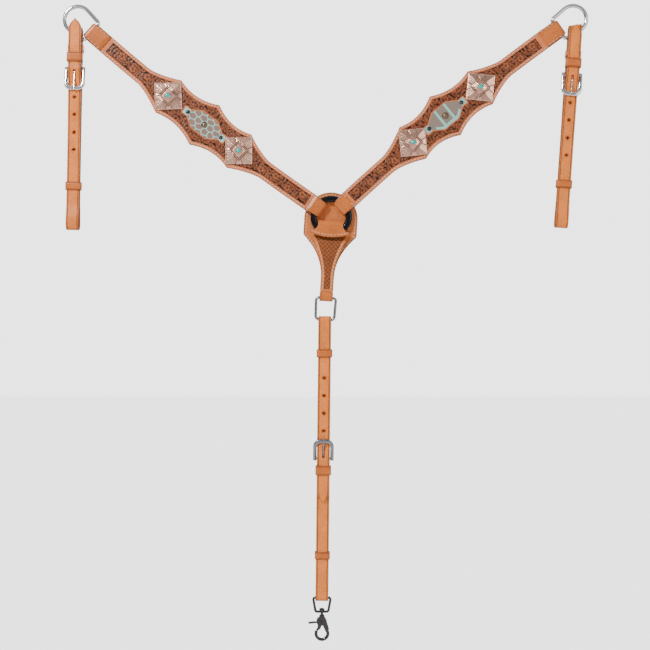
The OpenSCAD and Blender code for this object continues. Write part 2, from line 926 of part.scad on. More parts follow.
module snap_dee() {
    color(black_nickel)
        snap_frame()
            difference() {
                union() {
                    wire_loop([[9.3, -3, 3], [-9.3, -3, 3], [-7.2, -18, 2.4], [7.2, -18, 2.4]],
                        snap_wire);
                    translate([0, 0, -23.2])
                        cylinder(h = 5.4, r = 5);
                    translate([0, 0, boss_foot])
                        cylinder(h = 1.7, r1 = 3.9, r2 = 5);
                }
                translate([0, 0, -30])
                    cylinder(h = 40, r = stem_r + 0.05);
            }
}

module snap_stem() {
    color("#4a484a")
        snap_frame() {
            translate([0, 0, -30])
                cylinder(h = 30 + boss_top + 0.1, r = stem_r);
            translate([0, 0, boss_top + 0.05])
                cylinder(h = 1.4, r = 4.1);
            translate([0, 0, boss_top + 1.45])
                cylinder(h = 1.1, r1 = 4.1, r2 = 2.4);
        }
}

hook_centre = [0, -52.2];
hook_round = 8.6;
hook_wire = 2.4;
pivot = [-1.7, -34.1];
pin_r = 1.25;
cheek = 4;
nose_angle = 165;

module snap_hook() {
    slot_half = 2.4;
    color(black_nickel)
        snap_frame()
            difference() {
                union() {
                    translate([0, 0, -31.5])
                        cylinder(h = 31.5 + hook_top, r = 3.9);
                    plate(-cheek, cheek) {
                        rounded_outline([[1.6, -29.5, 2.6], [-1.6, -29.5, 2.6],
                            [pivot[0] - 0.3, pivot[1] - 0.2, 6], [2.4, -35, 5]]);
                        rounded_outline([[2.6, -31, 3], [2, -36, 2], [6.6, -46.2, 2.4],
                            [8.0, -45.4, 2.4]]);
                    }
                    rotate([90, 0, 0])
                        translate([hook_centre[0], hook_centre[1], 0])
                            rotate([0, 0, nose_angle])
                                rotate_extrude(angle = 235)
                                    translate([hook_round, 0])
                                        circle(hook_wire);
                    translate([hook_round * cos(nose_angle), 0,
                        hook_centre[1] + hook_round * sin(nose_angle)])
                        sphere(hook_wire + 0.15);
                }
                translate([0, 0, -30.1])
                    cylinder(h = 12, r = stem_r + 0.02);
                // slot for the trigger
                translate([-13, -slot_half, -46])
                    cube([16.2, 2 * slot_half, 15.2]);
                translate([pivot[0], 0, pivot[1]])
                    rotate([90, 0, 0])
                        cylinder(h = 20, r = pin_r + 0.03, center = true);
            }
}

module snap_trigger() {
    gate_r = 1.9;
    gate_from = 122;
    gate_sweep = 23;
    lever_tip = [-19.8, -36.6];
    color("#3d3a3a")
        snap_frame()
            difference() {
                union() {
                    plate(-2.2, 0.1) {
                        translate([pivot[0], pivot[1]])
                            circle(3.1);
                        rounded_outline([[pivot[0] + 1.4, pivot[1], 2.4], [pivot[0] - 2, pivot[1], 2.4],
                            [-5.0, -44.6, 1.7], [-3.6, -44.2, 1.7]]);
                        rounded_outline([[pivot[0], pivot[1] - 0.6, 1.6],
                            [-12, pivot[1] - 1.9, 1.1]]);
                    }
                    rotate([90, 0, 0])
                        translate([hook_centre[0], hook_centre[1], 0])
                            rotate([0, 0, gate_from])
                                rotate_extrude(angle = gate_sweep)
                                    translate([hook_round, 0])
                                        circle(gate_r);
                    plate(-3.2, 3.2)
                        rounded_outline([[lever_tip[0] + 1, lever_tip[1], 1],
                            [-11, pivot[1] - 1.8, 1.1]]);
                }
                translate([pivot[0], 0, pivot[1]])
                    rotate([90, 0, 0])
                        cylinder(h = 20, r = pin_r + 0.05, center = true);
            }
}

module trigger_pin() {
    color("#57524f")
        snap_frame()
            translate([pivot[0], 0, pivot[1]])
                rotate([90, 0, 0]) {
                    cylinder(h = 2 * cheek + 0.2, r = pin_r, center = true);
                    for (s = [0, 1])
                        mirror([0, 0, s])
                            translate([0, 0, cheek + 0.05])
                                cylinder(h = 0.9, r1 = 2.4, r2 = 1.6);
                }
}

// Small torsion spring beside the trigger, wound round the pin
spring_mid = 2.1;
spring_wire = 0.3;
spring_turns = 2;
spring_pitch = 0.68;
module trigger_spring() {
    sides = 8;
    per_turn = 20;
    rings = spring_turns * per_turn;
    points = [for (i = [0:rings]) for (j = [0:sides - 1])
        let (a = i * 360 / per_turn, b = j * 360 / sides, r = spring_mid + spring_wire * cos(b))
            [r * cos(a), 0.55 + i * spring_pitch / per_turn + spring_wire * sin(b), r * sin(a)]];
    walls = [for (i = [0:rings - 1]) for (j = [0:sides - 1])
        let (k = (j + 1) % sides)
            [i * sides + j, i * sides + k, (i + 1) * sides + k, (i + 1) * sides + j]];
    color("#8d8d8d")
        snap_frame()
            translate([pivot[0], 0, pivot[1]])
                polyhedron(points, concat([[for (j = [sides - 1:-1:0]) j]], walls,
                    [[for (j = [0:sides - 1]) rings * sides + j]]));
}

// ---------- Build ----------

centre_ring();
ring_guard();
guard_lining();
centre_drop();
drop_ring_loop();
arm_top(LEFT);  // left_arm_top
arm_lining(LEFT);  // left_arm_lining
ring_loop(LEFT);  // left_ring_loop
dee_loop(LEFT);  // left_dee_loop
inlay(LEFT);  // left_inlay
inlay_spots(LEFT);  // left_inlay_spots
stud(LEFT);  // left_stud
concho(LEFT, false);  // left_inner_concho
concho(LEFT, true);  // left_outer_concho
stone(LEFT, false);  // left_inner_stone
stone(LEFT, true);  // left_outer_stone
concho_screws(LEFT);  // left_concho_screws
arm_top(RIGHT);  // right_arm_top
arm_lining(RIGHT);  // right_arm_lining
ring_loop(RIGHT);  // right_ring_loop
dee_loop(RIGHT);  // right_dee_loop
inlay(RIGHT);  // right_inlay
inlay_spots(RIGHT);  // right_inlay_spots
stud(RIGHT);  // right_stud
concho(RIGHT, false);  // right_inner_concho
concho(RIGHT, true);  // right_outer_concho
stone(RIGHT, false);  // right_inner_stone
stone(RIGHT, true);  // right_outer_stone
concho_screws(RIGHT);  // right_concho_screws
dee(LEFT);  // left_dee
tug_strap(LEFT);  // left_tug_strap
color(bright_steel) tug_frame_at(LEFT) buckle_frame(tug_bar(LEFT), tug_frame);  // left_buckle
color(bright_steel) tug_frame_at(LEFT) buckle_tongue(tug_bar(LEFT), tug_frame);  // left_tongue
tug_frame_at(LEFT) upper_keeper(tug_bar(LEFT));  // left_upper_keeper
tug_frame_at(LEFT) rear_keeper(rear_keeper_d(LEFT));  // left_rear_keeper
tug_frame_at(LEFT) slide_keeper(tug_slide_at);  // left_lower_keeper
dee(RIGHT);  // right_dee
tug_strap(RIGHT);  // right_tug_strap
color(bright_steel) tug_frame_at(RIGHT) buckle_frame(tug_bar(RIGHT), tug_frame);  // right_buckle
color(bright_steel) tug_frame_at(RIGHT) buckle_tongue(tug_bar(RIGHT), tug_frame);  // right_tongue
tug_frame_at(RIGHT) upper_keeper(tug_bar(RIGHT));  // right_upper_keeper
tug_frame_at(RIGHT) rear_keeper(rear_keeper_d(RIGHT));  // right_rear_keeper
tug_frame_at(RIGHT) slide_keeper(tug_slide_at);  // right_lower_keeper
lower_ring();
centre_strap();
color(dark_steel) centre_frame_at() buckle_frame(centre_buckle_at, centre_frame);  // centre_buckle
color(dark_steel) centre_frame_at() buckle_tongue(centre_buckle_at, centre_frame);  // centre_tongue
centre_frame_at() upper_keeper(centre_buckle_at);  // centre_upper_keeper
centre_frame_at() rear_keeper(centre_lower_at);  // centre_lower_keeper
centre_frame_at() slide_keeper(centre_top_at);  // centre_top_keeper
snap_dee();
snap_stem();
snap_hook();
snap_trigger();
trigger_pin();
trigger_spring();
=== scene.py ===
import math
import bpy
import bmesh
import numpy as np
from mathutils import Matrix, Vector


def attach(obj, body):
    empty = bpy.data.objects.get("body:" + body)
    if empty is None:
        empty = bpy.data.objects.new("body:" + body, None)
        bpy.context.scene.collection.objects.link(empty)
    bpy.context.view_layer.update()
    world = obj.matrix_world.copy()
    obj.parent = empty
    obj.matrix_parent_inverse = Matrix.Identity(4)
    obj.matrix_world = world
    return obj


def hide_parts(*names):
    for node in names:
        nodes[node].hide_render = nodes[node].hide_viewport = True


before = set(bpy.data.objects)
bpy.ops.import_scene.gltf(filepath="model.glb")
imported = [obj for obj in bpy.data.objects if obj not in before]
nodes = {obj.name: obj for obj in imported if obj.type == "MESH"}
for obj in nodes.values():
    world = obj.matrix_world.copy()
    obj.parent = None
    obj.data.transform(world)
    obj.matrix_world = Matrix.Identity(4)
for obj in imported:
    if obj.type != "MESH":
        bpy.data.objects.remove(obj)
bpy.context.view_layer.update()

MM = 0.001
LEFT, RIGHT = 0, 1
SIDES = ("left", "right")
SIGN = (-1.0, 1.0)

# ---------------------------------------------------------------- node helpers


def add(tree, kind, **values):
    """A new shader node with some of its inputs set."""
    made = tree.nodes.new("ShaderNode" + kind)
    for label, value in values.items():
        made.inputs[label.replace("_", " ")].default_value = value
    return made


def join(tree, *links):
    """Links given as (node, its output, node, its input)."""
    for a, out, b, into in links:
        tree.links.new(a.outputs[out], b.inputs[into])


# ---------------------------------------------------------------- camera and light
# The camera stands level in front of the middle of the piece.
camera = bpy.data.objects.new("camera", bpy.data.cameras.new("camera"))
camera.location = (-0.00885, -1.9, -0.1572)
camera.rotation_euler = (math.radians(90), 0, 0)
camera.data.lens = 72.6
camera.data.sensor_width = 36
camera.data.clip_start = 0.05
bpy.context.scene.collection.objects.link(camera)
bpy.context.scene.camera = camera


def area_light(name, place, aim, size, power, tint=(1, 1, 1)):
    light = bpy.data.lights.new(name, "AREA")
    light.shape = "SQUARE"
    light.size = size
    light.energy = power
    light.color = tint
    lamp = bpy.data.objects.new(name, light)
    lamp.location = place
    direction = np.array(aim) - np.array(place)
    lamp.rotation_euler = Vector(direction).to_track_quat("-Z", "Y").to_euler()
    bpy.context.scene.collection.objects.link(lamp)


area_light("key", (-1.3, -1.8, 1.3), (0, 0, -0.1), 0.45, 60)
area_light("fill", (1.5, -1.7, 0.3), (0, 0, -0.1), 1.2, 10)
area_light("low", (0.2, -1.6, -1.2), (0, 0, -0.3), 1.0, 6)
area_light("back", (0.6, 1.8, 1.0), (0, 0, -0.1), 1.2, 22)

# A pale world: white behind the piece, and greyer low down and behind the camera, so that
# polished metal has something to show.
world = bpy.data.worlds.new("studio")
bpy.context.scene.world = world
world.use_nodes = True
wt = world.node_tree
wt.nodes.clear()
w_out = add(wt, "OutputWorld")
w_mix = add(wt, "MixShader")
w_seen = add(wt, "Background", Color=(1, 1, 1, 1), Strength=3.2)
w_lit = add(wt, "Background", Strength=0.6)
w_path = add(wt, "LightPath")
w_coord = add(wt, "TexCoord")
w_split = add(wt, "SeparateXYZ")
w_ramp = add(wt, "ValToRGB")
w_add = add(wt, "Math")
w_add.operation = "MULTIPLY_ADD"
w_add.inputs[1].default_value = 0.5
w_add.inputs[2].default_value = 0.5
ramp = w_ramp.color_ramp
ramp.elements[0].position = 0.0
ramp.elements[0].color = (0.30, 0.30, 0.30, 1)
ramp.elements[1].position = 1.0
ramp.elements[1].color = (1, 1, 1, 1)
for spot, grey in ((0.42, 0.12), (0.50, 0.55), (0.62, 0.95), (0.74, 0.30), (0.86, 0.9)):
    e = ramp.elements.new(spot)
    e.color = (grey, grey, grey, 1)
join(wt, (w_coord, "Generated", w_split, 0), (w_split, "Z", w_add, 0), (w_add, 0, w_ramp, 0),
     (w_ramp, 0, w_lit, "Color"), (w_path, "Is Camera Ray", w_mix, 0), (w_lit, 0, w_mix, 1),
     (w_seen, 0, w_mix, 2), (w_mix, 0, w_out, 0))

# ---------------------------------------------------------------- materials


def new_group(name, ins, outs):
    g = bpy.data.node_groups.new(name, "ShaderNodeTree")
    for label, kind, value in ins:
        s = g.interface.new_socket(label, in_out="INPUT", socket_type=kind)
        s.default_value = value
    for label, kind in outs:
        g.interface.new_socket(label, in_out="OUTPUT", socket_type=kind)
    return g, g.nodes.new("NodeGroupInput"), g.nodes.new("NodeGroupOutput")


# Veg-tanned leather: soft mottling, pores, and a darker stain wherever "antique" is high.
hide, gi, go = new_group("hide", [
    ("Base", "NodeSocketColor", (0.6, 0.3, 0.15, 1)),
    ("Dark", "NodeSocketColor", (0.1, 0.04, 0.02, 1)),
    ("Mottle", "NodeSocketFloat", 0.3),
    ("Pores", "NodeSocketFloat", 0.3)],
    [("Color", "NodeSocketColor"), ("Normal", "NodeSocketVector")])
coord = add(hide, "TexCoord")
broad = add(hide, "TexNoise", Scale=38, Detail=5)
fine = add(hide, "TexNoise", Scale=520, Detail=3)
pore = add(hide, "TexVoronoi", Scale=1500)
blend = add(hide, "Math")
blend.operation = "ADD"
level = add(hide, "MapRange", From_Min=0.7, From_Max=1.3, To_Min=-0.5, To_Max=0.5)
gain = add(hide, "Math")
gain.operation = "MULTIPLY_ADD"
gain.inputs[2].default_value = 1.0
scale = add(hide, "VectorMath")
scale.operation = "SCALE"
mark = add(hide, "Attribute")
mark.attribute_name = "antique"
stain = add(hide, "Mix")
stain.data_type = "RGBA"
bump = add(hide, "Bump", Distance=0.00025)
for t in (broad, fine, pore):
    join(hide, (coord, "Object", t, "Vector"))
join(hide, (broad, "Fac", blend, 0), (fine, "Fac", blend, 1), (blend, 0, level, "Value"),
     (level, 0, gain, 0), (gi, "Mottle", gain, 1), (gi, "Base", scale, 0),
     (gain, 0, scale, "Scale"), (scale, 0, stain, "A"), (gi, "Dark", stain, "B"),
     (mark, "Fac", stain, "Factor"), (pore, "Distance", bump, "Height"),
     (gi, "Pores", bump, "Strength"), (stain, "Result", go, "Color"), (bump, 0, go, "Normal"))


def new_material(name, **values):
    """A material with some inputs of its surface set, with its node tree and its surface."""
    m = bpy.data.materials.new(name)
    m.use_nodes = True
    surface = m.node_tree.nodes["Principled BSDF"]
    for label, value in values.items():
        surface.inputs[label.replace("_", " ")].default_value = value
    return m, m.node_tree, surface


def plain(name, base, rough, coat=0.0, **values):
    m = new_material(name, Base_Color=(*base, 1), Roughness=rough, Coat_Weight=coat, **values)[0]
    m.diffuse_color = (*base, 1)
    return m


def leather(name, base, dark, rough=0.42, mottle=0.3, pores=0.3, coat=0.06):
    m = plain(name, base, rough, coat, Specular_IOR_Level=0.25, Coat_Roughness=0.22)
    t = m.node_tree
    b = t.nodes["Principled BSDF"]
    g = t.nodes.new("ShaderNodeGroup")
    g.node_tree = hide
    for label, value in (("Base", (*base, 1)), ("Dark", (*dark, 1)), ("Mottle", mottle),
                         ("Pores", pores)):
        g.inputs[label].default_value = value
    join(t, (g, "Color", b, "Base Color"), (g, "Normal", b, "Normal"))
    return m


def two_colours(t, field, ground, other):
    """A mix of two colours by a mesh field."""
    a = add(t, "Attribute")
    a.attribute_name = field
    x = add(t, "Mix")
    x.data_type = "RGBA"
    x.inputs["A"].default_value = (*ground, 1)
    x.inputs["B"].default_value = (*other, 1)
    join(t, (a, "Fac", x, "Factor"))
    return x


def metal(name, base, rough, dark=None, brushed=0.0):
    m = plain(name, base, rough, Metallic=1)
    t = m.node_tree
    b = t.nodes["Principled BSDF"]
    if dark:
        join(t, (two_colours(t, "antique", base, dark), "Result", b, "Base Color"))
    if brushed:
        c = add(t, "TexCoord")
        z = add(t, "TexNoise", Scale=400, Detail=4)
        k = add(t, "Bump", Distance=0.0001, Strength=brushed)
        join(t, (c, "Object", z, "Vector"), (z, "Fac", k, "Height"), (k, 0, b, "Normal"))
    return m


strap_tan = leather("strap leather", (0.88, 0.24, 0.045), (0.07, 0.015, 0.006), 0.38, 0.4)
loop_tan = leather("loop leather", (0.60, 0.155, 0.03), (0.12, 0.03, 0.01), 0.30, 0.55, 0.2, 0.25)
tooled = leather("tooled leather", (0.72, 0.20, 0.07), (0.014, 0.003, 0.002), 0.38, 0.4)
guard_tan = leather("guard leather", (0.66, 0.19, 0.05), (0.03, 0.008, 0.005), 0.38, 0.42)
keeper_tan = leather("keeper leather", (0.62, 0.155, 0.03), (0.06, 0.014, 0.006), 0.32, 0.38,
                     0.2, 0.2)
lining_tan = leather("lining leather", (0.42, 0.19, 0.085), (0.15, 0.06, 0.03), 0.6, 0.3, 0.6, 0.0)
thread = plain("waxed thread", (0.80, 0.72, 0.62), 0.6)
# Near-black dots set at the needle holes: painted shade inside the holes.
hole_shade = plain("needle-hole painted shade", (0.05, 0.02, 0.012), 0.8)
bright = metal("bright plate", (0.80, 0.80, 0.81), 0.12)
grey = metal("grey steel", (0.30, 0.30, 0.31), 0.26, None, 0.25)
dark_ring = metal("dark steel", (0.03, 0.033, 0.038), 0.2)
nickel = metal("black nickel", (0.075, 0.07, 0.07), 0.2)
wire = metal("spring wire", (0.5, 0.5, 0.5), 0.25)
silver = metal("engraved silver", (0.93, 0.53, 0.39), 0.27, (0.06, 0.018, 0.011))
bronze = metal("antique bronze", (0.24, 0.17, 0.11), 0.34, None, 0.6)
screw = metal("screw plate", (0.6, 0.6, 0.58), 0.3)
black_spot = plain("black spot", (0.008, 0.008, 0.01), 0.08, 0.5)

# Turquoise with brown veins in it.
turquoise = plain("turquoise", (0.01, 0.50, 0.45), 0.16, 0.6)
t = turquoise.node_tree
vein = add(t, "TexNoise", Scale=330, Detail=6, Distortion=1.4)
tone = add(t, "ValToRGB")
tone.color_ramp.elements[0].position = 0.36
tone.color_ramp.elements[0].color = (0.05, 0.16, 0.13, 1)
tone.color_ramp.elements[1].position = 0.46
tone.color_ramp.elements[1].color = (0.0, 0.52, 0.46, 1)
join(t, (add(t, "TexCoord"), "Object", vein, "Vector"), (vein, "Fac", tone, 0),
     (tone, 0, t.nodes["Principled BSDF"], "Base Color"))


def two_tone(name, ground, line, rough, hair):
    m, t, b = new_material(name, Roughness=rough, Sheen_Weight=0.3)
    x = two_colours(t, "line", ground, line)
    q = add(t, "Mapping", Rotation=(0, math.radians(38), 0),
            Scale=(1, 1, 6) if hair else (1, 1, 1))
    z = add(t, "TexNoise", Scale=260, Detail=6)
    v = add(t, "Mix")
    v.data_type = "RGBA"
    v.blend_type = "MULTIPLY"
    v.inputs["Factor"].default_value = 0.55 if hair else 0.3
    k = add(t, "Bump", Distance=0.0004, Strength=0.7)
    join(t, (add(t, "TexCoord"), "Object", q, "Vector"), (q, 0, z, "Vector"),
         (x, "Result", v, "A"), (z, "Color", v, "B"), (z, "Fac", k, "Height"),
         (v, "Result", b, "Base Color"), (k, 0, b, "Normal"))
    return m


inlay_skin = (two_tone("cell inlay", (0.30, 0.17, 0.13), (0.45, 0.95, 0.83), 0.5, False),
              two_tone("hair inlay", (0.34, 0.25, 0.20), (0.38, 0.90, 0.78), 0.65, True))

# ---------------------------------------------------------------- geometry helpers


def turn_y(deg):
    a = math.radians(deg)
    return np.array([[math.cos(a), 0, math.sin(a)], [0, 1, 0], [-math.sin(a), 0, math.cos(a)]])


def place(points, rot=np.eye(3), shift=(0, 0, 0)):
    return np.asarray(points) @ rot.T + np.asarray(shift)


def ease(x):
    x = np.clip(x, 0, 1)
    return x * x * (3 - 2 * x)


def face_outward(bm):
    bmesh.ops.recalc_face_normals(bm, faces=bm.faces)
    if bm.calc_volume(signed=True) < 0:
        bmesh.ops.reverse_faces(bm, faces=bm.faces)


def build(name, verts, faces, mat, body, stands_for=(), angle=38, **fields):
    mesh = bpy.data.meshes.new(name)
    mesh.from_pydata((np.asarray(verts) * MM).tolist(), [], faces)
    for label, values in fields.items():
        a = mesh.attributes.new(label, "FLOAT", "POINT")
        a.data.foreach_set("value", np.asarray(values, dtype=np.float32))
    bm = bmesh.new()
    bm.from_mesh(mesh)
    face_outward(bm)
    bm.to_mesh(mesh)
    bm.free()
    mesh.shade_smooth()
    mesh.set_sharp_from_angle(angle=math.radians(angle))
    mesh.materials.append(mat)
    obj = bpy.data.objects.new(name, mesh)
    bpy.context.scene.collection.objects.link(obj)
    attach(obj, body)
    if stands_for:
        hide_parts(*stands_for)
    return obj


def slab(name, top, low, mat, body, stands_for=(), rot=np.eye(3), shift=(0, 0, 0), closed=False,
         angle=38, **fields):
    """A closed piece between a detailed face, top (n, m, 3), and a plain back, low (n, 2, 3)."""
    n, m = top.shape[:2]
    top, low = place(top, rot, shift), place(low, rot, shift)
    verts = np.concatenate([top.reshape(-1, 3), low.reshape(-1, 3)])
    base = n * m
    faces = []
    for i in range(n if closed else n - 1):
        k = (i + 1) % n
        a, b = i * m, k * m
        for j in range(m - 1):
            faces.append((a + j, a + j + 1, b + j + 1, b + j))
        c, d = base + 2 * i, base + 2 * k
        faces.append((c, d, d + 1, c + 1))
        faces.append((a, b, d, c))
        faces.append((a + m - 1, c + 1, d + 1, b + m - 1))
    if not closed:
        faces.append(tuple(range(m)) + (base + 1, base))
        last = (n - 1) * m
        faces.append(tuple(range(last, last + m)) + (base + 2 * n - 1, base + 2 * n - 2))
    full = {k: np.concatenate([np.asarray(v).reshape(-1), np.full(2 * n, 0.35)])
            for k, v in fields.items()}
    return build(name, verts, faces, mat, body, stands_for, angle, **full)


def sheet(name, x, y, z, back, *rest, **fields):
    """A slab with its face on the grids x, y and z, and its back at the depth given."""
    top = np.stack([x, y, z], axis=2)
    low = np.stack([top[:, 0], top[:, -1]], axis=1)
    low[:, :, 1] = back
    slab(name, top, low, *rest, **fields)


def resample(points, step):
    p = np.asarray(points, dtype=float)
    d = np.concatenate([[0], np.cumsum(np.linalg.norm(np.diff(p, axis=0), axis=1))])
    count = max(2, int(round(d[-1] / step)) + 1)
    s = np.linspace(0, d[-1], count)
    return np.stack([np.interp(s, d, p[:, k]) for k in range(p.shape[1])], axis=1), s


def smooth(p, times):
    for _ in range(times):
        q = p.copy()
        q[1:-1] = (p[:-2] + 2 * p[1:-1] + p[2:]) / 4
        p = q
    return p


def arc(cx, cz, r, a0, a1, steps=14):
    a = np.radians(np.linspace(a0, a1, steps))
    return [(cx + r * math.cos(x), cz + r * math.sin(x)) for x in a]


def outline_path(circles, step=0.6):
    """Points round a rounded outline given as circles (x, z, r) in counter-clockwise order."""
    pts = []
    count = len(circles)
    def touch(a, b):
        d = math.hypot(b[0] - a[0], b[1] - a[1])
        return math.degrees(math.atan2(b[1] - a[1], b[0] - a[0]) - math.acos((a[2] - b[2]) / d))
    for i, c in enumerate(circles):
        enter = touch(circles[i - 1], c)
        leave = touch(c, circles[(i + 1) % count])
        while leave < enter:
            leave += 360
        pts += arc(c[0], c[1], c[2], enter, leave, 20)
    pts.append(pts[0])
    p, _ = resample(pts, step)
    return p[:-1]


def edge_distance(points, poly):
    """Distance of each point to a closed polygon's edges."""
    best = np.full(len(points), 1e9)
    for a, b in zip(poly, np.roll(poly, -1, axis=0)):
        ab = b - a
        size = ab @ ab
        if size < 1e-12:
            continue
        t = np.clip(((points - a) @ ab) / size, 0, 1)
        d = points - (a + t[:, None] * ab)
        best = np.minimum(best, np.einsum("ij,ij->i", d, d))
    return np.sqrt(best)


def from_rim(across, along, stations, half):
    """Distance of grid points to the rim of a leaf that is this half wide at its stations."""
    edge = np.stack([half, stations], axis=1)
    rim = np.concatenate([edge, (edge * (-1, 1))[::-1]])
    points = np.stack([across.ravel(), along.ravel()], axis=1)
    return edge_distance(points, rim).reshape(across.shape)


def edge_round(d):
    """How far a leather face falls away at distance d from its edge."""
    return np.where(d < 0.9, 0.9 - np.sqrt(np.clip(0.81 - (0.9 - d) ** 2, 0, None)), 0)


def tube(name, path, r, mat, body, stands_for=(), rot=np.eye(3), shift=(0, 0, 0), flat=1.0):
    """Round wire bent along a closed path of (x, z) points."""
    p = np.asarray(path)
    d = np.roll(p, -1, axis=0) - np.roll(p, 1, axis=0)
    d /= np.linalg.norm(d, axis=1)[:, None]
    out = np.stack([d[:, 1], -d[:, 0]], axis=1)
    a = np.linspace(0, 2 * math.pi, 24, endpoint=False)
    v = np.zeros((len(p), 24, 3))
    v[:, :, 0] = p[:, 0, None] + r * np.cos(a) * out[:, 0, None]
    v[:, :, 2] = p[:, 1, None] + r * np.cos(a) * out[:, 1, None]
    v[:, :, 1] = r * flat * np.sin(a)
    count = len(p)
    faces = [(i * 24 + j, i * 24 + (j + 1) % 24, (i + 1) % count * 24 + (j + 1) % 24,
              (i + 1) % count * 24 + j) for i in range(count) for j in range(24)]
    return build(name, place(v.reshape(-1, 3), rot, shift), faces, mat, body, stands_for)


def cut(obj, cutters):
    """Cuts closed shapes (verts, faces) out of a piece."""
    verts, faces = [], []
    for v, f in cutters:
        k = len(verts)
        verts += [tuple(x * MM for x in p) for p in v]
        faces += [tuple(i + k for i in face) for face in f]
    mesh = bpy.data.meshes.new("cutter")
    mesh.from_pydata(verts, [], faces)
    bm = bmesh.new()
    bm.from_mesh(mesh)
    face_outward(bm)
    bm.to_mesh(mesh)
    bm.free()
    tool = bpy.data.objects.new("cutter", mesh)
    bpy.context.scene.collection.objects.link(tool)
    m = obj.modifiers.new("cut", "BOOLEAN")
    m.operation = "DIFFERENCE"
    m.solver = "MANIFOLD"
    m.object = tool
    deps = bpy.context.evaluated_depsgraph_get()
    done = bpy.data.meshes.new_from_object(obj.evaluated_get(deps))
    obj.modifiers.clear()
    old = obj.data
    obj.data = done
    bpy.data.meshes.remove(old)
    bpy.data.objects.remove(tool)
    bpy.data.meshes.remove(mesh)


def prism(outline, y0, y1, rot, shift):
    """A closed prism with its outline in the XZ plane, from y0 to y1, for cutting."""
    n = len(outline)
    v = [(x, y0, z) for x, z in outline] + [(x, y1, z) for x, z in outline]
    f = [tuple(range(n)), tuple(range(n, 2 * n))]
    f += [(i, (i + 1) % n, n + (i + 1) % n, n + i) for i in range(n)]
    return place(v, rot, shift).tolist(), f


# ---------------------------------------------------------------- stitching tree
# Rows of saddle stitches: a slanted thread over each gap and, between them, a near-black dot of
# painted shade where the needle hole is.
rows = bpy.data.node_groups.new("stitch row", "GeometryNodeTree")
rows.is_modifier = True
rows.interface.new_socket("Geometry", in_out="INPUT", socket_type="NodeSocketGeometry")
sock = {}
for label, value in (("Spacing", 0.0046), ("Length", 0.0031), ("Width", 0.0009), ("Slant", 0.35)):
    s = rows.interface.new_socket(label, in_out="INPUT", socket_type="NodeSocketFloat")
    s.default_value = value
    sock[label] = s.identifier
rows.interface.new_socket("Geometry", in_out="OUTPUT", socket_type="NodeSocketGeometry")
n = rows.nodes
gi = n.new("NodeGroupInput")
go = n.new("NodeGroupOutput")
to_curve = n.new("GeometryNodeMeshToCurve")
trim = n.new("GeometryNodeTrimCurve")
trim.mode = "LENGTH"
trim.inputs[4].default_value = 10.0
half = n.new("ShaderNodeMath")
half.operation = "MULTIPLY"
half.inputs[1].default_value = 0.5
tangent = n.new("GeometryNodeInputTangent")
along = n.new("FunctionNodeAlignRotationToVector")
along.axis = "X"
upright = n.new("FunctionNodeAlignRotationToVector")
upright.axis = "Y"
upright.pivot_axis = "X"
upright.inputs["Vector"].default_value = (0, 1, 0)
angle3 = n.new("ShaderNodeCombineXYZ")
as_turn = n.new("FunctionNodeEulerToRotation")
slanted = n.new("FunctionNodeRotateRotation")
slanted.rotation_space = "LOCAL"
ball = n.new("GeometryNodeMeshUVSphere")
ball.inputs["Segments"].default_value = 10
ball.inputs["Rings"].default_value = 6
ball.inputs["Radius"].default_value = 0.5
size3 = n.new("ShaderNodeCombineXYZ")
shape = n.new("GeometryNodeTransform")
dot = n.new("GeometryNodeTransform")
dot.inputs["Scale"].default_value = (0.00115, 0.0007, 0.00115)
collect = n.new("GeometryNodeJoinGeometry")
real = n.new("GeometryNodeRealizeInstances")
join(rows, (gi, "Geometry", to_curve, 0), (tangent, 0, along, "Vector"),
     (along, 0, upright, "Rotation"), (gi, "Slant", angle3, "Y"), (angle3, 0, as_turn, 0),
     (upright, 0, slanted, 0), (as_turn, 0, slanted, 1), (gi, "Length", size3, "X"),
     (gi, "Width", size3, "Y"), (gi, "Width", size3, "Z"), (ball, "Mesh", shape, "Geometry"),
     (size3, 0, shape, "Scale"), (ball, "Mesh", dot, "Geometry"), (gi, "Spacing", half, 0),
     (to_curve, 0, trim, 0), (half, 0, trim, 2))
# Threads along each row, and near-black dots of painted hole shade between them.
for source, thing, mat, turned in ((to_curve, shape, thread, True),
                                   (trim, dot, hole_shade, False)):
    spaced = n.new("GeometryNodeResampleCurve")
    spaced.mode = "LENGTH"
    put = n.new("GeometryNodeInstanceOnPoints")
    paint = n.new("GeometryNodeSetMaterial")
    paint.inputs["Material"].default_value = mat
    join(rows, (source, 0, spaced, 0), (gi, "Spacing", spaced, "Length"),
         (spaced, 0, put, "Points"), (thing, 0, paint, 0), (paint, 0, put, "Instance"))
    if turned:
        join(rows, (slanted, 0, put, "Rotation"))
    join(rows, (put, 0, collect, 0))
join(rows, (collect, 0, real, 0), (real, 0, go, 0))


def stitches(name, lines, body, spacing=4.6, length=3.1, width=0.9, slant=20):
    """Sews along lines of 3-D points."""
    verts, edges = [], []
    for line in lines:
        k = len(verts)
        verts += (np.asarray(line) * MM).tolist()
        edges += [(k + i, k + i + 1) for i in range(len(line) - 1)]
    mesh = bpy.data.meshes.new(name)
    mesh.from_pydata(verts, edges, [])
    obj = bpy.data.objects.new(name, mesh)
    bpy.context.scene.collection.objects.link(obj)
    m = obj.modifiers.new("stitches", "NODES")
    m.node_group = rows
    m[sock["Spacing"]] = spacing * MM
    m[sock["Length"]] = length * MM
    m[sock["Width"]] = width * MM
    m[sock["Slant"]] = math.radians(slant)
    deps = bpy.context.evaluated_depsgraph_get()
    done = bpy.data.meshes.new_from_object(obj.evaluated_get(deps))
    obj.modifiers.clear()
    obj.data = done
    bpy.data.meshes.remove(mesh)
    done.shade_smooth()
    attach(obj, body)
    return obj


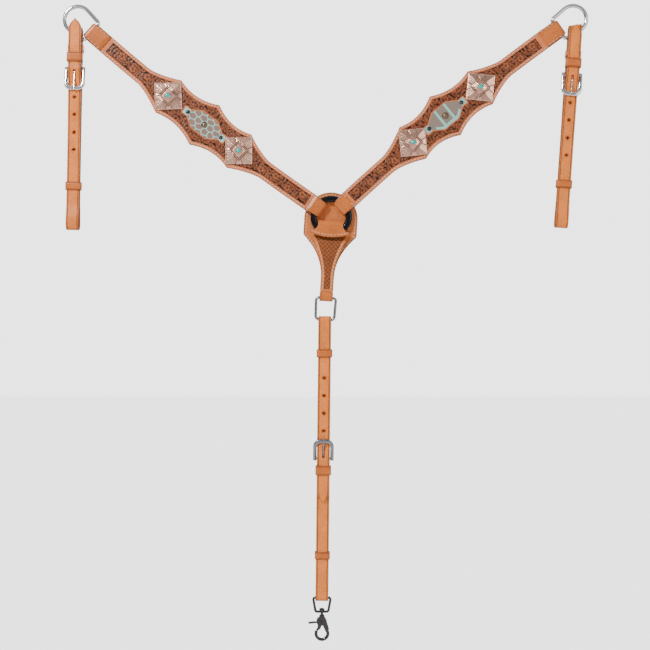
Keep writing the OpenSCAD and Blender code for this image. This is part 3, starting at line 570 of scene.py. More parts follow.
# ---------------------------------------------------------------- places shared with the solids
ANGLE = (34.0, 43.5)
BEND = (7.7, -8.5)
REACH = (465.0, 453.0)
INNER = [0.352 * r for r in REACH]
MIDDLE = [0.487 * r for r in REACH]
OUTER = [0.630 * r for r in REACH]
NECK, MID_HALF, SIDE_HALF, FLANK, VALLEY = 13.6, 36.0, 30.0, 48.0, 7.2
DROP_TURN = turn_y(3.5)


def heading(side, u):
    return ANGLE[side] + BEND[side] * np.asarray(u) / REACH[side]


def arm_xz(side, u, v=0.0):
    rate = math.radians(BEND[side] / REACH[side])
    h = np.radians(heading(side, u))
    a = math.radians(ANGLE[side])
    x = (np.sin(h) - math.sin(a)) / rate - v * np.sin(h)
    z = (math.cos(a) - np.cos(h)) / rate + v * np.cos(h)
    return SIGN[side] * x, z


def arm_half(side, u):
    u = np.asarray(u, dtype=float)
    a, b, c = INNER[side], MIDDLE[side], OUTER[side]
    def sweep(d):
        return NECK + (SIDE_HALF - NECK) * np.clip(1 - d / FLANK, 0, 1) ** 1.5
    def between(u0, h0, u1, h1):
        s = (u - u0) / (u1 - u0)
        return h0 + (h1 - h0) * s - VALLEY * 4 * s * (1 - s)
    return np.where(u < a, sweep(a - u), np.where(u < b, between(a, SIDE_HALF, b, MID_HALF),
                    np.where(u < c, between(b, MID_HALF, c, SIDE_HALF), sweep(u - c))))


def arm_place(side, u):
    mirror = np.diag([SIGN[side], 1, 1])
    x, z = arm_xz(side, u)
    return mirror @ turn_y(-float(heading(side, u))), np.array([float(x), 0, float(z)])


def ribbon(path, half, thick, sign, crease=True):
    """Grids for a strap: a path in its own plane, its half width and thickness along it.
    They come back as (path plane, path plane, across)."""
    p = np.asarray(path)
    n = len(p)
    half = np.broadcast_to(half, n)
    thick = np.broadcast_to(thick, n)
    d = np.gradient(p, axis=0)
    d /= np.linalg.norm(d, axis=1)[:, None]
    out = sign * np.stack([-d[:, 1], d[:, 0]], axis=1)
    edge = [(1.0, 0.85, 1.0), (0.99, 0.4, 0.95), (0.96, 0.12, 0.7), (0.91, 0.0, 0.2)]
    if crease:
        edge += [(0.82, 0.0, 0.1), (0.79, 0.3, 0.95), (0.74, 0.34, 0.95), (0.70, 0.0, 0.1)]
    mid = [(f, 0.0, 0.0) for f in np.linspace(0.5, 0, 5)[:-1]]
    side = edge + mid
    cols = [(-f, o, a) for f, o, a in side] + [(0, 0, 0)] + [(f, o, a) for f, o, a in side[::-1]]
    f, o, a = (np.array(c, dtype=float) for c in zip(*cols))
    lift = thick[:, None] * 0.5 - np.minimum(o, 0.45 * thick[:, None])
    top = np.zeros((n, len(f), 3))
    top[:, :, :2] = p[:, None, :] + out[:, None, :] * lift[:, :, None]
    top[:, :, 2] = half[:, None] * f
    low = np.zeros((n, 2, 3))
    low[:, :, :2] = (p - out * (thick / 2)[:, None])[:, None, :]
    low[:, 0, 2] = -half * 0.985
    low[:, 1, 2] = half * 0.985
    return top, low, np.broadcast_to(a, (n, len(f))).copy()


def axes(grid, order):
    """Puts a ribbon's (first, second, across) coordinates on the named axes."""
    out = np.zeros_like(grid)
    for k, axis in enumerate(order):
        out[..., "xyz".index(axis)] = grid[..., k]
    return out


def leaf(h, P, Q, x, y, turn, length, width, curl=0.25):
    """Stamps one veined leaf into the relief h."""
    near = (np.abs(P - x) < length) & (np.abs(Q - y) < length)
    if not near.any():
        return
    a = (P[near] - x) * math.cos(turn) + (Q[near] - y) * math.sin(turn)
    b = -(P[near] - x) * math.sin(turn) + (Q[near] - y) * math.cos(turn)
    s = a / length + 0.5
    b = b + curl * length * (s - 0.5) ** 2
    w = width * np.sin(np.pi * np.clip(s, 0, 1)) ** 0.7 * (1.1 - 0.45 * s)
    inside = (s > 0) & (s < 1) & (np.abs(b) < w)
    rib = np.abs(b) / np.maximum(w, 1e-3)
    value = (0.45 + 0.5 * np.sqrt(np.clip(1 - rib ** 2, 0, 1))) * (0.8 + 0.25 * s)
    value -= 0.4 * np.exp(-(b / 0.28) ** 2)
    value -= 0.14 * (np.sin(22 * s + 4 * rib) > 0.4) * (rib > 0.25)
    cur = h[near]
    cur[inside] = np.maximum(value[inside], 0.18)
    edge = (s > -0.06) & (s < 1.06) & (np.abs(b) < w + 0.4) & ~inside
    cur[edge] = np.minimum(cur[edge], 0.02)
    h[near] = cur


def flower(h, P, Q, x, y, R, spin):
    near = (np.abs(P - x) < 1.2 * R) & (np.abs(Q - y) < 1.2 * R)
    a, b = P[near] - x, Q[near] - y
    r = np.hypot(a, b)
    t = np.arctan2(b, a) + spin
    petal = np.abs(np.cos(2.5 * t))
    rim = R * (0.66 + 0.34 * petal ** 0.5)
    inside = r < rim
    value = 0.95 - 0.45 * (r / rim) ** 6 - 0.5 * np.exp(-(np.cos(2.5 * t) * r / 0.55) ** 2)
    value -= 0.25 * (np.sin(12.5 * t) > 0.6) * (r > 0.4 * R) * (r < 0.75 * R)
    value = np.where(np.abs(r - 0.30 * R) < 0.22, 0.08, value)
    value = np.where(r < 0.26 * R, 0.55 + 0.35 * np.cos(5 * a) * np.cos(5 * b), value)
    cur = h[near]
    cur[inside] = np.clip(value[inside], 0.05, 1)
    edge = (r < rim + 0.45) & ~inside
    cur[edge] = 0.0
    h[near] = cur


def scrollwork(P, Q, centres, spots, seed):
    """Relief 0 (matted ground) to 1 (leather's face): flowers with leaves swirling round them."""
    h = np.zeros_like(P)
    h += 0.16 * (np.sin(4.6 * P) * np.sin(4.6 * Q) > 0.15)
    pick = np.random.default_rng(seed)
    centres = np.asarray(centres)
    for x, y in spots:
        d = centres[:, :2] - (x, y)
        k = int(np.argmin(np.hypot(d[:, 0], d[:, 1])))
        round_it = math.atan2(y - centres[k, 1], x - centres[k, 0])
        turn = round_it + (1.15 if k % 2 else -1.15) + pick.uniform(-0.25, 0.25)
        leaf(h, P, Q, x, y, turn, pick.uniform(7.0, 9.0), pick.uniform(1.7, 2.3),
             0.45 if k % 2 else -0.45)
    for k, (x, y, R) in enumerate(centres):
        flower(h, P, Q, x, y, R, 0.6 * k)
    return h


# ---------------------------------------------------------------- arms
# Each arm is a tooled top layer sewn to a lining: scalloped, with a plain border that
# carries a row of slanted stitches and a matted ground under the flowers and leaves.
WINDOW = np.array([(-37, -5), (-28, -5), (-13, -15), (13, -15), (28, -5), (37, -5),
                   (37, 5), (28, 5), (13, 15), (-13, 15), (-28, 5), (-37, 5)], dtype=float)
BORDER = 5.4  # width of the plain border
SEAM = 2.8    # distance of the stitches from the edge
FOLD = 4.6    # middle radius of a loop's fold


def fold_loop(side, which, front, at, back, way, flat_from, widths, rot, shift):
    """A loop of plain glossy leather, folded at x = at, with its legs thinned at their ends."""
    path = front + [(at + way * FOLD * math.sin(a), FOLD * math.cos(a))
                    for a in np.linspace(0.05, math.pi - 0.05, 22)] + back
    p, s = resample(path, 0.8)
    thick = 1.5 + 1.3 * ease(np.minimum(s, s[-1] - s) / 5)
    flat = way * (p[:, 0] - flat_from) < 0
    p[:, 1] = np.sign(p[:, 1]) * np.maximum(np.abs(p[:, 1]) - (2.8 - thick) / 2 * flat, 0)
    top, low, a = ribbon(p, np.interp(p[:, 0], *widths), thick, way, crease=False)
    name = f"{SIDES[side]}_{which}_loop"
    slab(name + "_leather", axes(top, "xyz"), axes(low, "xyz"), loop_tan, SIDES[side] + "_arm",
         (name,), rot, shift, antique=a)


for side in (LEFT, RIGHT):
    name = SIDES[side]
    body = name + "_arm"
    start, end = 31.2, REACH[side] - 29.6
    us = np.linspace(start, end, int((end - start) / 0.7))
    s = np.linspace(-1, 1, 67)
    cols = 0.62 * s + 0.38 * np.sin(s * math.pi / 2)
    U = np.repeat(us[:, None], len(cols), axis=1)
    V = arm_half(side, us)[:, None] * cols[None, :]
    coarse = np.linspace(start - 60, end + 60, 300)
    knots = np.sort(np.concatenate([coarse, [INNER[side], MIDDLE[side], OUTER[side]]]))
    d = from_rim(V, U, knots, arm_half(side, knots))
    local = np.stack([U.ravel() - MIDDLE[side], V.ravel()], axis=1)
    dw = edge_distance(local, WINDOW).reshape(U.shape)
    wide = np.interp(np.abs(U - MIDDLE[side]), [13, 28, 37, 37.01], [15, 5, 5, -1])
    in_window = np.abs(V) < wide
    dw = np.where(in_window, -dw, dw)
    tool_from, tool_to = 40.6, REACH[side] - 61.5
    area = (d > BORDER) & (U > tool_from) & (U < tool_to) & (dw > 1.6)
    centres = [(u, 2.2 * (-1) ** k, 5.6) for k, u in enumerate(np.arange(52, tool_to - 4, 23.5))]
    for u0 in (0.5 * (INNER[side] + MIDDLE[side]), 0.5 * (MIDDLE[side] + OUTER[side])):
        centres += [(u0, 20.5, 4.2), (u0, -20.5, 4.2)]
    spots = []
    for u in np.arange(tool_from + 1, tool_to, 4.7):
        hw = float(arm_half(side, u)) - BORDER
        for v in np.arange(-hw, hw + 0.1, 4.4):
            spots.append((u + ((u * 7.3 + v * 3.1) % 2.4) - 1.2,
                          v + ((u * 5.7 + v * 2.3) % 1.8) - 0.9))
    h = scrollwork(U, V, centres, spots, 11 + side)
    face = np.where(area, np.clip(h, 0, 1), 1.0)
    depth = 0.6 * (1 - face)
    stain = np.where(area, np.clip(1.3 - 0.95 * np.clip(h, 0, 1), 0.4, 1), 0.0)
    line = np.exp(-((d - BORDER) / 0.3) ** 2) * (U > tool_from - 0.5) * (U < tool_to + 0.5)
    for at in (tool_from, tool_to):
        line = np.maximum(line, np.exp(-((U - at) / 0.35) ** 2) * (d > BORDER))
    line = np.maximum(line, np.exp(-((dw - 1.3) / 0.35) ** 2))
    seat = np.exp(-((d - SEAM) / 0.7) ** 2)
    sink = 0.65 * ease((0.4 - dw) / 0.8)
    rounding = edge_round(d)
    rounding[:, 0] = rounding[:, -1] = 0.9
    y = -3.0 + depth + 0.3 * line + 0.16 * seat + sink + rounding
    stain = np.clip(stain + 0.85 * line + 0.12 * seat + 0.6 * (d < 0.7), 0, 1)
    X, Z = arm_xz(side, U, V)
    sheet(name + "_arm_face", X, y, Z, -0.02, tooled, body, (name + "_arm_top",), antique=stain)

    # Lining: plain leather with a creased back edge.
    ul = np.linspace(start, end, 240)
    cl = np.array([-1, -0.99, -0.96, -0.9, -0.45, 0, 0.45, 0.9, 0.96, 0.99, 1])
    hl = arm_half(side, ul)[:, None] * cl[None, :]
    inset = arm_half(side, ul)[:, None] - np.abs(hl)
    yl = 3.0 - edge_round(inset)
    XL, ZL = arm_xz(side, np.repeat(ul[:, None], 11, axis=1), hl)
    sheet(name + "_arm_back", XL, yl, ZL, 0.02, lining_tan, body, (name + "_arm_lining",),
          antique=np.where(inset < 0.6, 0.7, 0.0))

    # Border stitches, front and back.
    lines = []
    for edge in (-1, 1):
        pts = []
        for i in range(0, len(us), 2):
            row = range(33, 67) if edge > 0 else range(33, -1, -1)
            vals = [(d[i, j], V[i, j]) for j in row]
            for (d0, v0), (d1, v1) in zip(vals, vals[1:]):
                if d0 >= SEAM > d1:
                    pts.append((us[i], v0 + (v1 - v0) * (d0 - SEAM) / (d0 - d1)))
                    break
        pts = np.array(pts)
        x, z = arm_xz(side, pts[:, 0], pts[:, 1])
        lines.append(np.stack([x, np.full(len(x), -2.86), z], axis=1))
    flip = 20 if side == RIGHT else -20
    stitches(name + "_arm_stitches", lines, body, slant=flip)
    behind = [line + np.array([0, 5.86, 0]) for line in lines]
    stitches(name + "_arm_back_stitches", behind, body, slant=-flip)

    # Loop round the middle ring, and loop round the dee's bar: plain glossy leather.
    rot, shift = turn_y(-float(heading(side, 25))), np.zeros(3)
    rot = np.diag([SIGN[side], 1, 1]) @ rot
    fold_loop(side, "ring", [(36, 4.3), (33, FOLD), (20.4, FOLD)], 20.4,
              [(20.4, -FOLD), (33, -FOLD), (36, -4.2)], -1, 25,
              ([15, 20.4, 36], [11.7, 11.8, 13.2]), rot, shift)
    ring_rows = [place([(34.3, -4.9, v) for v in row], rot, shift)
                 for row in ((-11.6, -7.6), (7.6, 11.6))]
    rot, shift = arm_place(side, REACH[side])
    fold_loop(side, "dee", [(-50, 4.3), (-46, FOLD), (-26, FOLD)], -26,
              [(-26, -FOLD), (-50, -FOLD), (-54, -4.2)], 1, -31,
              ([-50, -26, -23.5, -21.3], [13.2, 12.5, 12.0, 10.4]), rot, shift)
    dee_rows = [place([(x, -5.75, v) for x in np.linspace(-49, -31, 10)], rot, shift)
                for v in (-10.9, 10.9)]
    stitches(name + "_loop_stitches", ring_rows + dee_rows, body, slant=flip)

    # Inlay in its window: cells with mint lines on the left, brushed hair on the right.
    rot, shift = arm_place(side, MIDDLE[side])
    xs = np.linspace(-36.7, 36.7, 150)
    hw = np.interp(np.abs(xs), [12.9, 27.9, 36.7], [14.7, 4.7, 4.7])
    ragged = 0.35 * np.sin(xs * 4.1) + 0.25 * np.sin(xs * 9.7)
    c = np.linspace(-1, 1, 61)
    P = np.repeat(xs[:, None], 61, axis=1)
    Q = (hw + ragged)[:, None] * c[None, :]
    if side == LEFT:
        gx, gz = 11.0, 7.6
        best = np.full(P.shape, 99.0)
        second = np.full(P.shape, 99.0)
        for i in range(-6, 7):
            for j in range(-4, 5):
                cx = (i + 0.5 * (j % 2)) * gx + 1.2 * math.sin(5.1 * i + 2.3 * j)
                cz = j * gz + 1.0 * math.sin(3.7 * i + 4.9 * j)
                r = np.hypot((P - cx) / 1.25, Q - cz)
                second = np.where(r < best, best, np.minimum(second, r))
                best = np.minimum(best, r)
        mint = ease(1 - (second - best - 0.55) / 0.6)
    else:
        mint = ease(1 - (np.abs(np.abs(P) - 8.5) - 1.3) / 0.7)
        mint = np.maximum(mint, ease(1 - (np.abs(Q + (hw[:, None] - 2.4)) - 1.5) / 0.8)
                          * (np.abs(P) < 22))
    mint = np.maximum(mint, ease((np.abs(P) - 27) / 2) * (0.75 + 0.25 * np.sin(5 * P + 3 * Q)))
    fuzz = 0.12 * np.sin(9 * P + 3 * Q) * np.sin(7 * Q - 2 * P)
    y = -2.62 + fuzz * (0.5 if side == LEFT else 1.0) - 0.1 * (1 - mint)
    sheet(name + "_inlay_skin", P, y, Q, -0.6, inlay_skin[side], body, (name + "_inlay",),
          rot, shift, line=mint)

# ---------------------------------------------------------------- conchos
# Low square pyramids, engraved and antiqued: a beaded diamond round the stone, lines from
# its corners to the edges, and a scroll in each corner.
RIM, RISE, SIDE_LEN = 1.4, 5.2, 39.0
TURNS = ((0, 2), (6, -6))
# x, z, turn, length and width of each leaf in a corner
CORNER_LEAVES = ((12.4, 12.4, 0.785, 8.5, 1.8), (15.3, 9.2, 0.2, 5.5, 1.2),
                 (9.2, 15.3, 1.37, 5.5, 1.2), (16.3, 13.6, 0.5, 4.6, 1.0),
                 (13.6, 16.3, 1.07, 4.6, 1.0), (9.6, 9.6, 2.36, 5.0, 1.0))
for side in (LEFT, RIGHT):
    for k, where in enumerate(("inner", "outer")):
        u = (INNER, OUTER)[k][side]
        x0, z0 = arm_xz(side, u)
        a = np.linspace(-1, 1, 121)
        a = 0.8 * a + 0.2 * np.sin(a * math.pi / 2)
        P, Q = np.meshgrid(a * SIDE_LEN / 2, a * SIDE_LEN / 2, indexing="ij")
        far = np.maximum(np.abs(P), np.abs(Q))
        slope = RIM + RISE * (1 - far / (SIDE_LEN / 2))
        height = np.minimum(slope, RIM + RISE * 0.86) - 0.35 * np.exp(-((far - 18.6) / 0.35) ** 2)
        diamond = np.abs(P) + np.abs(Q)
        dark = np.zeros_like(P)
        groove = np.zeros_like(P)
        for at in (10.9, 13.9):
            groove = np.maximum(groove, np.exp(-((diamond - at) / 0.75) ** 2))
        beads = np.abs(np.sin((P - Q) * 1.55)) * np.exp(-((diamond - 12.4) / 0.75) ** 2)
        A, B = np.abs(P), np.abs(Q)
        for long_way, short_way in ((A, B), (B, A)):
            vee = np.exp(-((short_way - (long_way - 6.5) * 0.42) / 0.5) ** 2)
            groove = np.maximum(groove, vee * (long_way > 12.6) * (far < 18.8))
        scroll = np.zeros_like(P)
        for one in CORNER_LEAVES:
            leaf(scroll, A, B, *one, 0.3)
        corner = (diamond > 14.8) & (A < 18.4) & (B < 18.4) \
            & (B > (A - 6.5) * 0.42 + 0.5) & (A > (B - 6.5) * 0.42 + 0.5)
        height += 0.07 * scroll * corner + 0.15 * beads - 0.3 * groove
        dark = np.clip(groove + 0.32 * corner * (1 - np.clip(1.3 * scroll, 0, 1))
                       + 0.35 * np.exp(-((diamond - 12.4) / 0.9) ** 2) * (1 - beads), 0, 1)
        near = np.hypot(P, Q)
        dark = np.maximum(dark, 0.8 * np.exp(-((near - 5.0) / 0.4) ** 2))
        rot = turn_y(-TURNS[side][k])
        shift = np.array([float(x0), 0, float(z0)])
        name = f"{SIDES[side]}_{where}"
        sheet(name + "_concho_plate", P, -3.0 - height, Q, -3.0, silver, SIDES[side] + "_arm",
              (name + "_concho",), rot, shift, angle=24, antique=dark)
        # Bezel: a thin serrated collar round the stone.
        t = np.linspace(0, 2 * math.pi, 73)[:-1]
        prof = [(3.6, 0.4), (3.7, 1.5), (4.1, 1.75), (4.6, 1.4), (4.9, 0.3), (5.1, -0.4),
                (3.6, -0.4)]
        v = []
        for i, ang in enumerate(t):
            for q, (r, y) in enumerate(prof):
                r2 = r + (0.14 if i % 2 and q in (2, 3, 4) else 0)
                v.append((r2 * math.cos(ang), -3.0 - RIM - RISE * 0.86 - y, r2 * math.sin(ang)))
        m = len(prof)
        f = [(i * m + j, i * m + (j + 1) % m, (i + 1) % 72 * m + (j + 1) % m, (i + 1) % 72 * m + j)
             for i in range(72) for j in range(m)]
        build(name + "_bezel", place(v, rot, shift), f, silver, SIDES[side] + "_arm", angle=30)


# ---------------------------------------------------------------- fittings on the arms
# Turquoise drops in the bezels, bronze studs, glossy black spots and the screw posts behind.
# The ring, the tongues and the snap's parts are smooth metal too.
def finish_node(label, mat):
    data = nodes[label].data
    data.materials.clear()
    data.materials.append(mat)
    data.shade_smooth()
    data.set_sharp_from_angle(angle=math.radians(32))


for side in (LEFT, RIGHT):
    name = SIDES[side]
    for node, mat in (("inner_stone", turquoise), ("outer_stone", turquoise), ("stud", bronze),
                      ("inlay_spots", black_spot), ("concho_screws", screw),
                      ("tongue", bright)):
        finish_node(f"{name}_{node}", mat)
for node, mat in (("centre_tongue", grey), ("centre_ring", dark_ring), ("snap_stem", nickel),
                  ("snap_hook", nickel), ("snap_trigger", nickel), ("trigger_pin", nickel),
                  ("trigger_spring", wire)):
    finish_node(node, mat)

# ---------------------------------------------------------------- wire rings
# Dees of bright round wire in the arms' outer loops, a small ring of grey wire between the
# drop and the centre strap, and a smaller dee on the snap.
for side in (LEFT, RIGHT):
    rot, shift = arm_place(side, REACH[side])
    path = outline_path([(0, 0, 19.4), (-22, 13.2, 4), (-22, -13.2, 4)])
    tube(SIDES[side] + "_dee_wire", path, 2.9, bright, SIDES[side] + "_dee_body",
         (SIDES[side] + "_dee",), rot, shift)
shift = DROP_TURN @ np.array([0, 1.5, -118.2])
path = outline_path([(10.8, -3.4, 3.4), (-10.8, -3.4, 3.4), (-8.4, -26.4, 5.2), (8.4, -26.4, 5.2)])
tube("lower_ring_wire", path, 2.0, grey, "lower_ring_body", ("lower_ring",), DROP_TURN, shift)
path = outline_path([(9.3, -3, 3), (-9.3, -3, 3), (-7.2, -18, 2.4), (7.2, -18, 2.4)], 0.4)
tube("snap_loop_wire", path, 1.9, nickel, "snap_link", ("snap_dee",), np.eye(3),
     (-13.365, 1.5, -552.50))

# ---------------------------------------------------------------- straps with buckles
# Each strap is one length of leather: it folds over its ring, its short end wraps the buckle's
# bar, and its long end loops back up through the buckle and the keepers to a pointed tip.
BAR_Y, OVER_Y, TIP_Y, STRAP_HALF = -4.7, -10.2, -9.5, 9.4
HOLES_FROM, HOLE_PITCH = 14.5, 25.4


def gap(d, length, far_r, shut):
    """Half of the gap between a strap's two layers at distance d below its ring."""
    d = np.asarray(d, dtype=float)
    opening = 1.4 + (far_r - 1.4) * ease((d - length + 42) / 28)
    closing = 3.2 - 1.8 * ease((d - shut) / 60)
    return np.where(d < shut, 3.2, np.where(d < shut + 60, closing,
                                            np.where(d < length - 42, 1.4, opening)))


def strap(name, bar, tip, frame_l, length, far_r, slope, rise, body, node, rot, shift):
    shut, end = bar + frame_l + 4, bar + frame_l - 9
    fold = length - 3 - far_r
    pts = [(-1.75, -(bar - 9)), (-1.8, -(bar - 4))]
    pts += [(BAR_Y + 2.85 * math.cos(a), -bar + 2.85 * math.sin(a))
            for a in np.linspace(0, -math.pi, 16)]
    for d in np.linspace(bar, bar - 9, 8)[1:]:
        pts.append((BAR_Y - 2.85 * (1 - float(ease((bar - d) / 9))), -d))
    pts += [(BAR_Y, -(bar - 14)), (BAR_Y, rise - 9)]
    pts += [(4.7 * math.cos(a), rise + 4.7 * math.sin(a)) for a in np.linspace(math.pi, 0, 20)]
    back = np.concatenate([np.linspace(10 - rise, shut + 60, 60), np.linspace(shut + 64, fold, 60)])
    pts += [(float(gap(d, length, far_r, shut)) + 1.5, -float(d)) for d in back]
    pts += [((far_r + 1.5) * math.cos(a), -fold + (far_r + 1.5) * math.sin(a))
            for a in np.linspace(0, -math.pi, 20)[1:-1]]
    for d in np.linspace(fold, tip, 240):
        low = -float(gap(d, length, far_r, shut)) - 1.5
        if d > end:
            y = low
        elif d > bar:
            y = OVER_Y + (low - OVER_Y) * (d - bar) / (end - bar)
        else:
            y = OVER_Y + (TIP_Y - OVER_Y) * float(ease((bar - d) / 7))
        pts.append((y, -float(d)))
    p, s = resample(pts, 1.3)
    p = smooth(p, 2)
    total = s[-1]
    thick = 2.0 + 1.0 * ease((s - 17) / 8)
    left = (total - s) / 15.0
    half = np.where(left < 1, STRAP_HALF * (1 - (1 - np.clip(left, 0, 1)) ** 1.9), STRAP_HALF)
    half = np.maximum(half, 0.5)
    top, low, a = ribbon(p, half, thick, 1)
    top, low = axes(top, "yzx"), axes(low, "yzx")
    if slope:
        for g in (top, low):
            near = ease((g[..., 2] + 32) / 22) * (g[..., 1] > BAR_Y - 2) * (g[..., 1] < 6.4)
            near = near * np.where(np.arange(len(p)) < len(p) * 0.45, 1, 0)[:, None]
            g[..., 2] += g[..., 0] * math.tan(math.radians(slope)) * near
    on_front = (np.arange(len(p)) > 0.5 * len(p))[:, None]
    for k in range(1, 5):
        reach = np.hypot(top[..., 0], top[..., 2] + bar + HOLES_FROM + HOLE_PITCH * k)
        a = np.maximum(a, ease((3.4 - reach) / 0.9) * on_front)
    obj = slab(name, top, low, strap_tan, body, (node,), rot, shift, antique=a)
    circle = [(2.1 * math.cos(t), 2.1 * math.sin(t)) for t in np.linspace(0, 2 * math.pi, 21)[:-1]]
    cutters = []
    for k in range(1, 5):
        z = -bar - HOLES_FROM - HOLE_PITCH * k
        cutters.append(prism([(x, z + q) for x, q in circle], -12, -0.2, rot, shift))
    cutters.append(prism([(-2.3, -bar - 6), (2.3, -bar - 6), (2.3, -bar + 3.2), (-2.3, -bar + 3.2)],
                         -8.75, -0.2, rot, shift))
    cut(obj, cutters)
    slot = arc(0, -bar - 2.4, 1.8, 0, 180, 9) + arc(0, -bar - 17.5, 1.8, 180, 360, 9)
    cut(obj, [prism(slot, -18, -1.1, rot, shift)])


def keeper(name, d, y0, y1, height, thick, body, node, rot, shift):
    """A creased band of leather round the layers between y0 and y1."""
    r, half = 1.2, STRAP_HALF + 0.25
    def outline(grow):
        q = r + grow
        pts = []
        for sx, yc, a0 in ((1, y1 - r, 0), (-1, y1 - r, 90), (-1, y0 + r, 180), (1, y0 + r, 270)):
            pts += arc(sx * (half - r), yc, q, a0, a0 + 90, 7)
        out = []
        for (ax, ay), (bx, by) in zip(pts, pts[1:] + pts[:1]):
            steps = 8 if math.hypot(bx - ax, by - ay) > 3 else 1
            out += [(ax + (bx - ax) * k / steps, ay + (by - ay) * k / steps) for k in range(steps)]
        return np.array(out)
    inner, outer = outline(0.0), outline(thick)
    h2 = height / 2
    f = np.array([-1, -0.985, -0.93, -0.82, -0.76, -0.7, -0.4, 0,
                  0.4, 0.7, 0.76, 0.82, 0.93, 0.985, 1])
    drop = np.array([0.6, 0.25, 0.05, 0, 0.28, 0, 0, 0, 0, 0, 0.28, 0, 0.05, 0.25, 0.6])
    tone = np.array([0.9, 0.8, 0.5, 0.1, 0.9, 0.1, 0, 0, 0, 0.1, 0.9, 0.1, 0.5, 0.8, 0.9])
    way = (outer - inner) / np.linalg.norm(outer - inner, axis=1)[:, None]
    top = np.zeros((len(outer), len(f), 3))
    top[:, :, :2] = outer[:, None, :] - way[:, None, :] * drop[None, :, None]
    top[:, :, 2] = -d + h2 * f
    low = np.zeros((len(outer), 2, 3))
    low[:, :, :2] = inner[:, None, :]
    low[:, 0, 2], low[:, 1, 2] = -d - h2, -d + h2
    slab(name, top, low, keeper_tan, body, (node,), rot, shift, closed=True, angle=50,
         antique=np.tile(tone, (len(outer), 1)))


def keepers(name, body, places, labels, rot, shift):
    """A strap's front, rear and sliding keepers, at these distances below its ring."""
    for d, label, band, y0, y1, height, thick, on in (
            (places[0], labels[0], "front", -11.2, -3.0, 13.4, 1.8, body),
            (places[1], labels[1], "rear", -6.4, 6.4, 10, 1.4, body),
            (places[2], labels[2], "sliding", -4.6, 4.6, 11.6, 1.8, name + "_slide_keeper")):
        keeper(f"{name}_{band}_band", d, y0, y1, height, thick, on, f"{name}_{label}_keeper",
               rot, shift)


def buckle(name, bar, L, mat, body, node, rot, shift):
    """A cast frame, half round in front and flat behind, on a straight bar."""
    def u_line(x, r, bottom):
        pts = [(-x, 3.2)] + [(-x, z) for z in np.linspace(2, -(bottom - r) + 1, 6)]
        pts += arc(-(x - r), -(bottom - r), r, 180, 270, 12)
        pts += arc(x - r, -(bottom - r), r, 270, 360, 12)
        pts += [(x, z) for z in np.linspace(-(bottom - r) + 1, 2, 6)] + [(x, 3.2)]
        return np.array(pts)
    outer, inner = u_line(15, 11, L), u_line(10, 7, L - 6.3)
    f = np.linspace(0, 1, 13)
    crown = 1.7 * np.sqrt(np.clip(1 - (2 * f - 1) ** 2, 0, None))
    ends = np.minimum(np.arange(len(outer)), len(outer) - 1 - np.arange(len(outer)))
    low_y, high_y = 1.4, 0.25
    top = np.zeros((len(outer), 13, 3))
    top[:, :, 0] = outer[:, 0, None] * (1 - f) + inner[:, 0, None] * f
    top[:, :, 2] = outer[:, 1, None] * (1 - f) + inner[:, 1, None] * f
    top[:, :, 1] = high_y - crown * np.where(ends == 0, 0.55, 1.0)[:, None]
    low = np.stack([top[:, 0], top[:, -1]], axis=1)
    low[:, :, 1] = low_y
    a = math.radians(8.6)
    tilt = np.array([[1, 0, 0], [0, math.cos(a), math.sin(a)], [0, -math.sin(a), math.cos(a)]])
    seat = np.array([0, BAR_Y, -bar])
    r2, s2 = rot @ tilt, place([seat], rot, shift)[0]
    slab(name + "_frame", top, low, mat, body, (node,), r2, s2, angle=40)
    t = np.linspace(0, 2 * math.pi, 25)[:-1]
    v = [(x, 1.68 * math.cos(q), 1.68 * math.sin(q)) for x in (-12, 12) for q in t]
    faces = [(i, (i + 1) % 24, 24 + (i + 1) % 24, 24 + i) for i in range(24)]
    faces += [tuple(range(24)), tuple(range(24, 48))]
    build(name + "_bar", place(v, r2, s2), faces, mat, body)


HANG = ((-369.40, 0, 263.00), (352.67, 0, 265.38))
for side, lean, slip in ((LEFT, 1.0, 0), (RIGHT, 4.0, 11)):
    name = SIDES[side]
    body = name + "_tug"
    rot, shift = turn_y(lean), np.array(HANG[side])
    bar = 50.4 + slip
    strap(name + "_tug_leather", bar, slip - 22.4, 31, 283, 5, SIGN[side] * 12, 6.6, body,
          name + "_tug_strap", rot, shift)
    buckle(name + "_tug_buckle", bar, 31, bright, body, name + "_buckle", rot, shift)
    keepers(name, body, (bar - 17, bar - 30.6, 219), ("upper", "rear", "lower"), rot, shift)

spin = turn_y(0.6)
rot = spin @ np.diag([1, 1, -1])
shift = np.array([-9.145, 1.5, -149.52]) + spin @ np.array([0, 0, -403])
strap("centre_leather", 201.4, 138.8, 28.2, 407.6, 3.5, 0, 0, "centre_tie", "centre_strap", rot,
      shift + rot @ np.array([0, 0, -1]))
buckle("centre_strap_buckle", 202.4, 28.2, grey, "centre_tie", "centre_buckle", rot, shift)
keepers("centre", "centre_tie", (185.4, 61.5, 354.3), ("upper", "lower", "top"), rot, shift)

# ---------------------------------------------------------------- drop
# The drop folds over the middle ring. Its front tab is plain with a curved, sewn end; its tail
# is stamped with a slanting basket weave and sewn round the edge.
FOLD_Z, TAB_LONG = -11.9, 13.1      # centre of the fold, and length of the tab below it
TAB_R, TAB_CENTRE_Z = 76, 45.5      # arc of the tab's lower end
BACK_OUT, BACK_IN = 6.0, 3.2        # the fold's outer and inner radius


def tab_half(z):
    t = np.clip((FOLD_Z - np.asarray(z, dtype=float)) / TAB_LONG, 0, 1)
    return 18 + 11.4 * t ** 1.7


def tab_end(x):
    return TAB_CENTRE_Z - math.sqrt(TAB_R ** 2 - x * x)


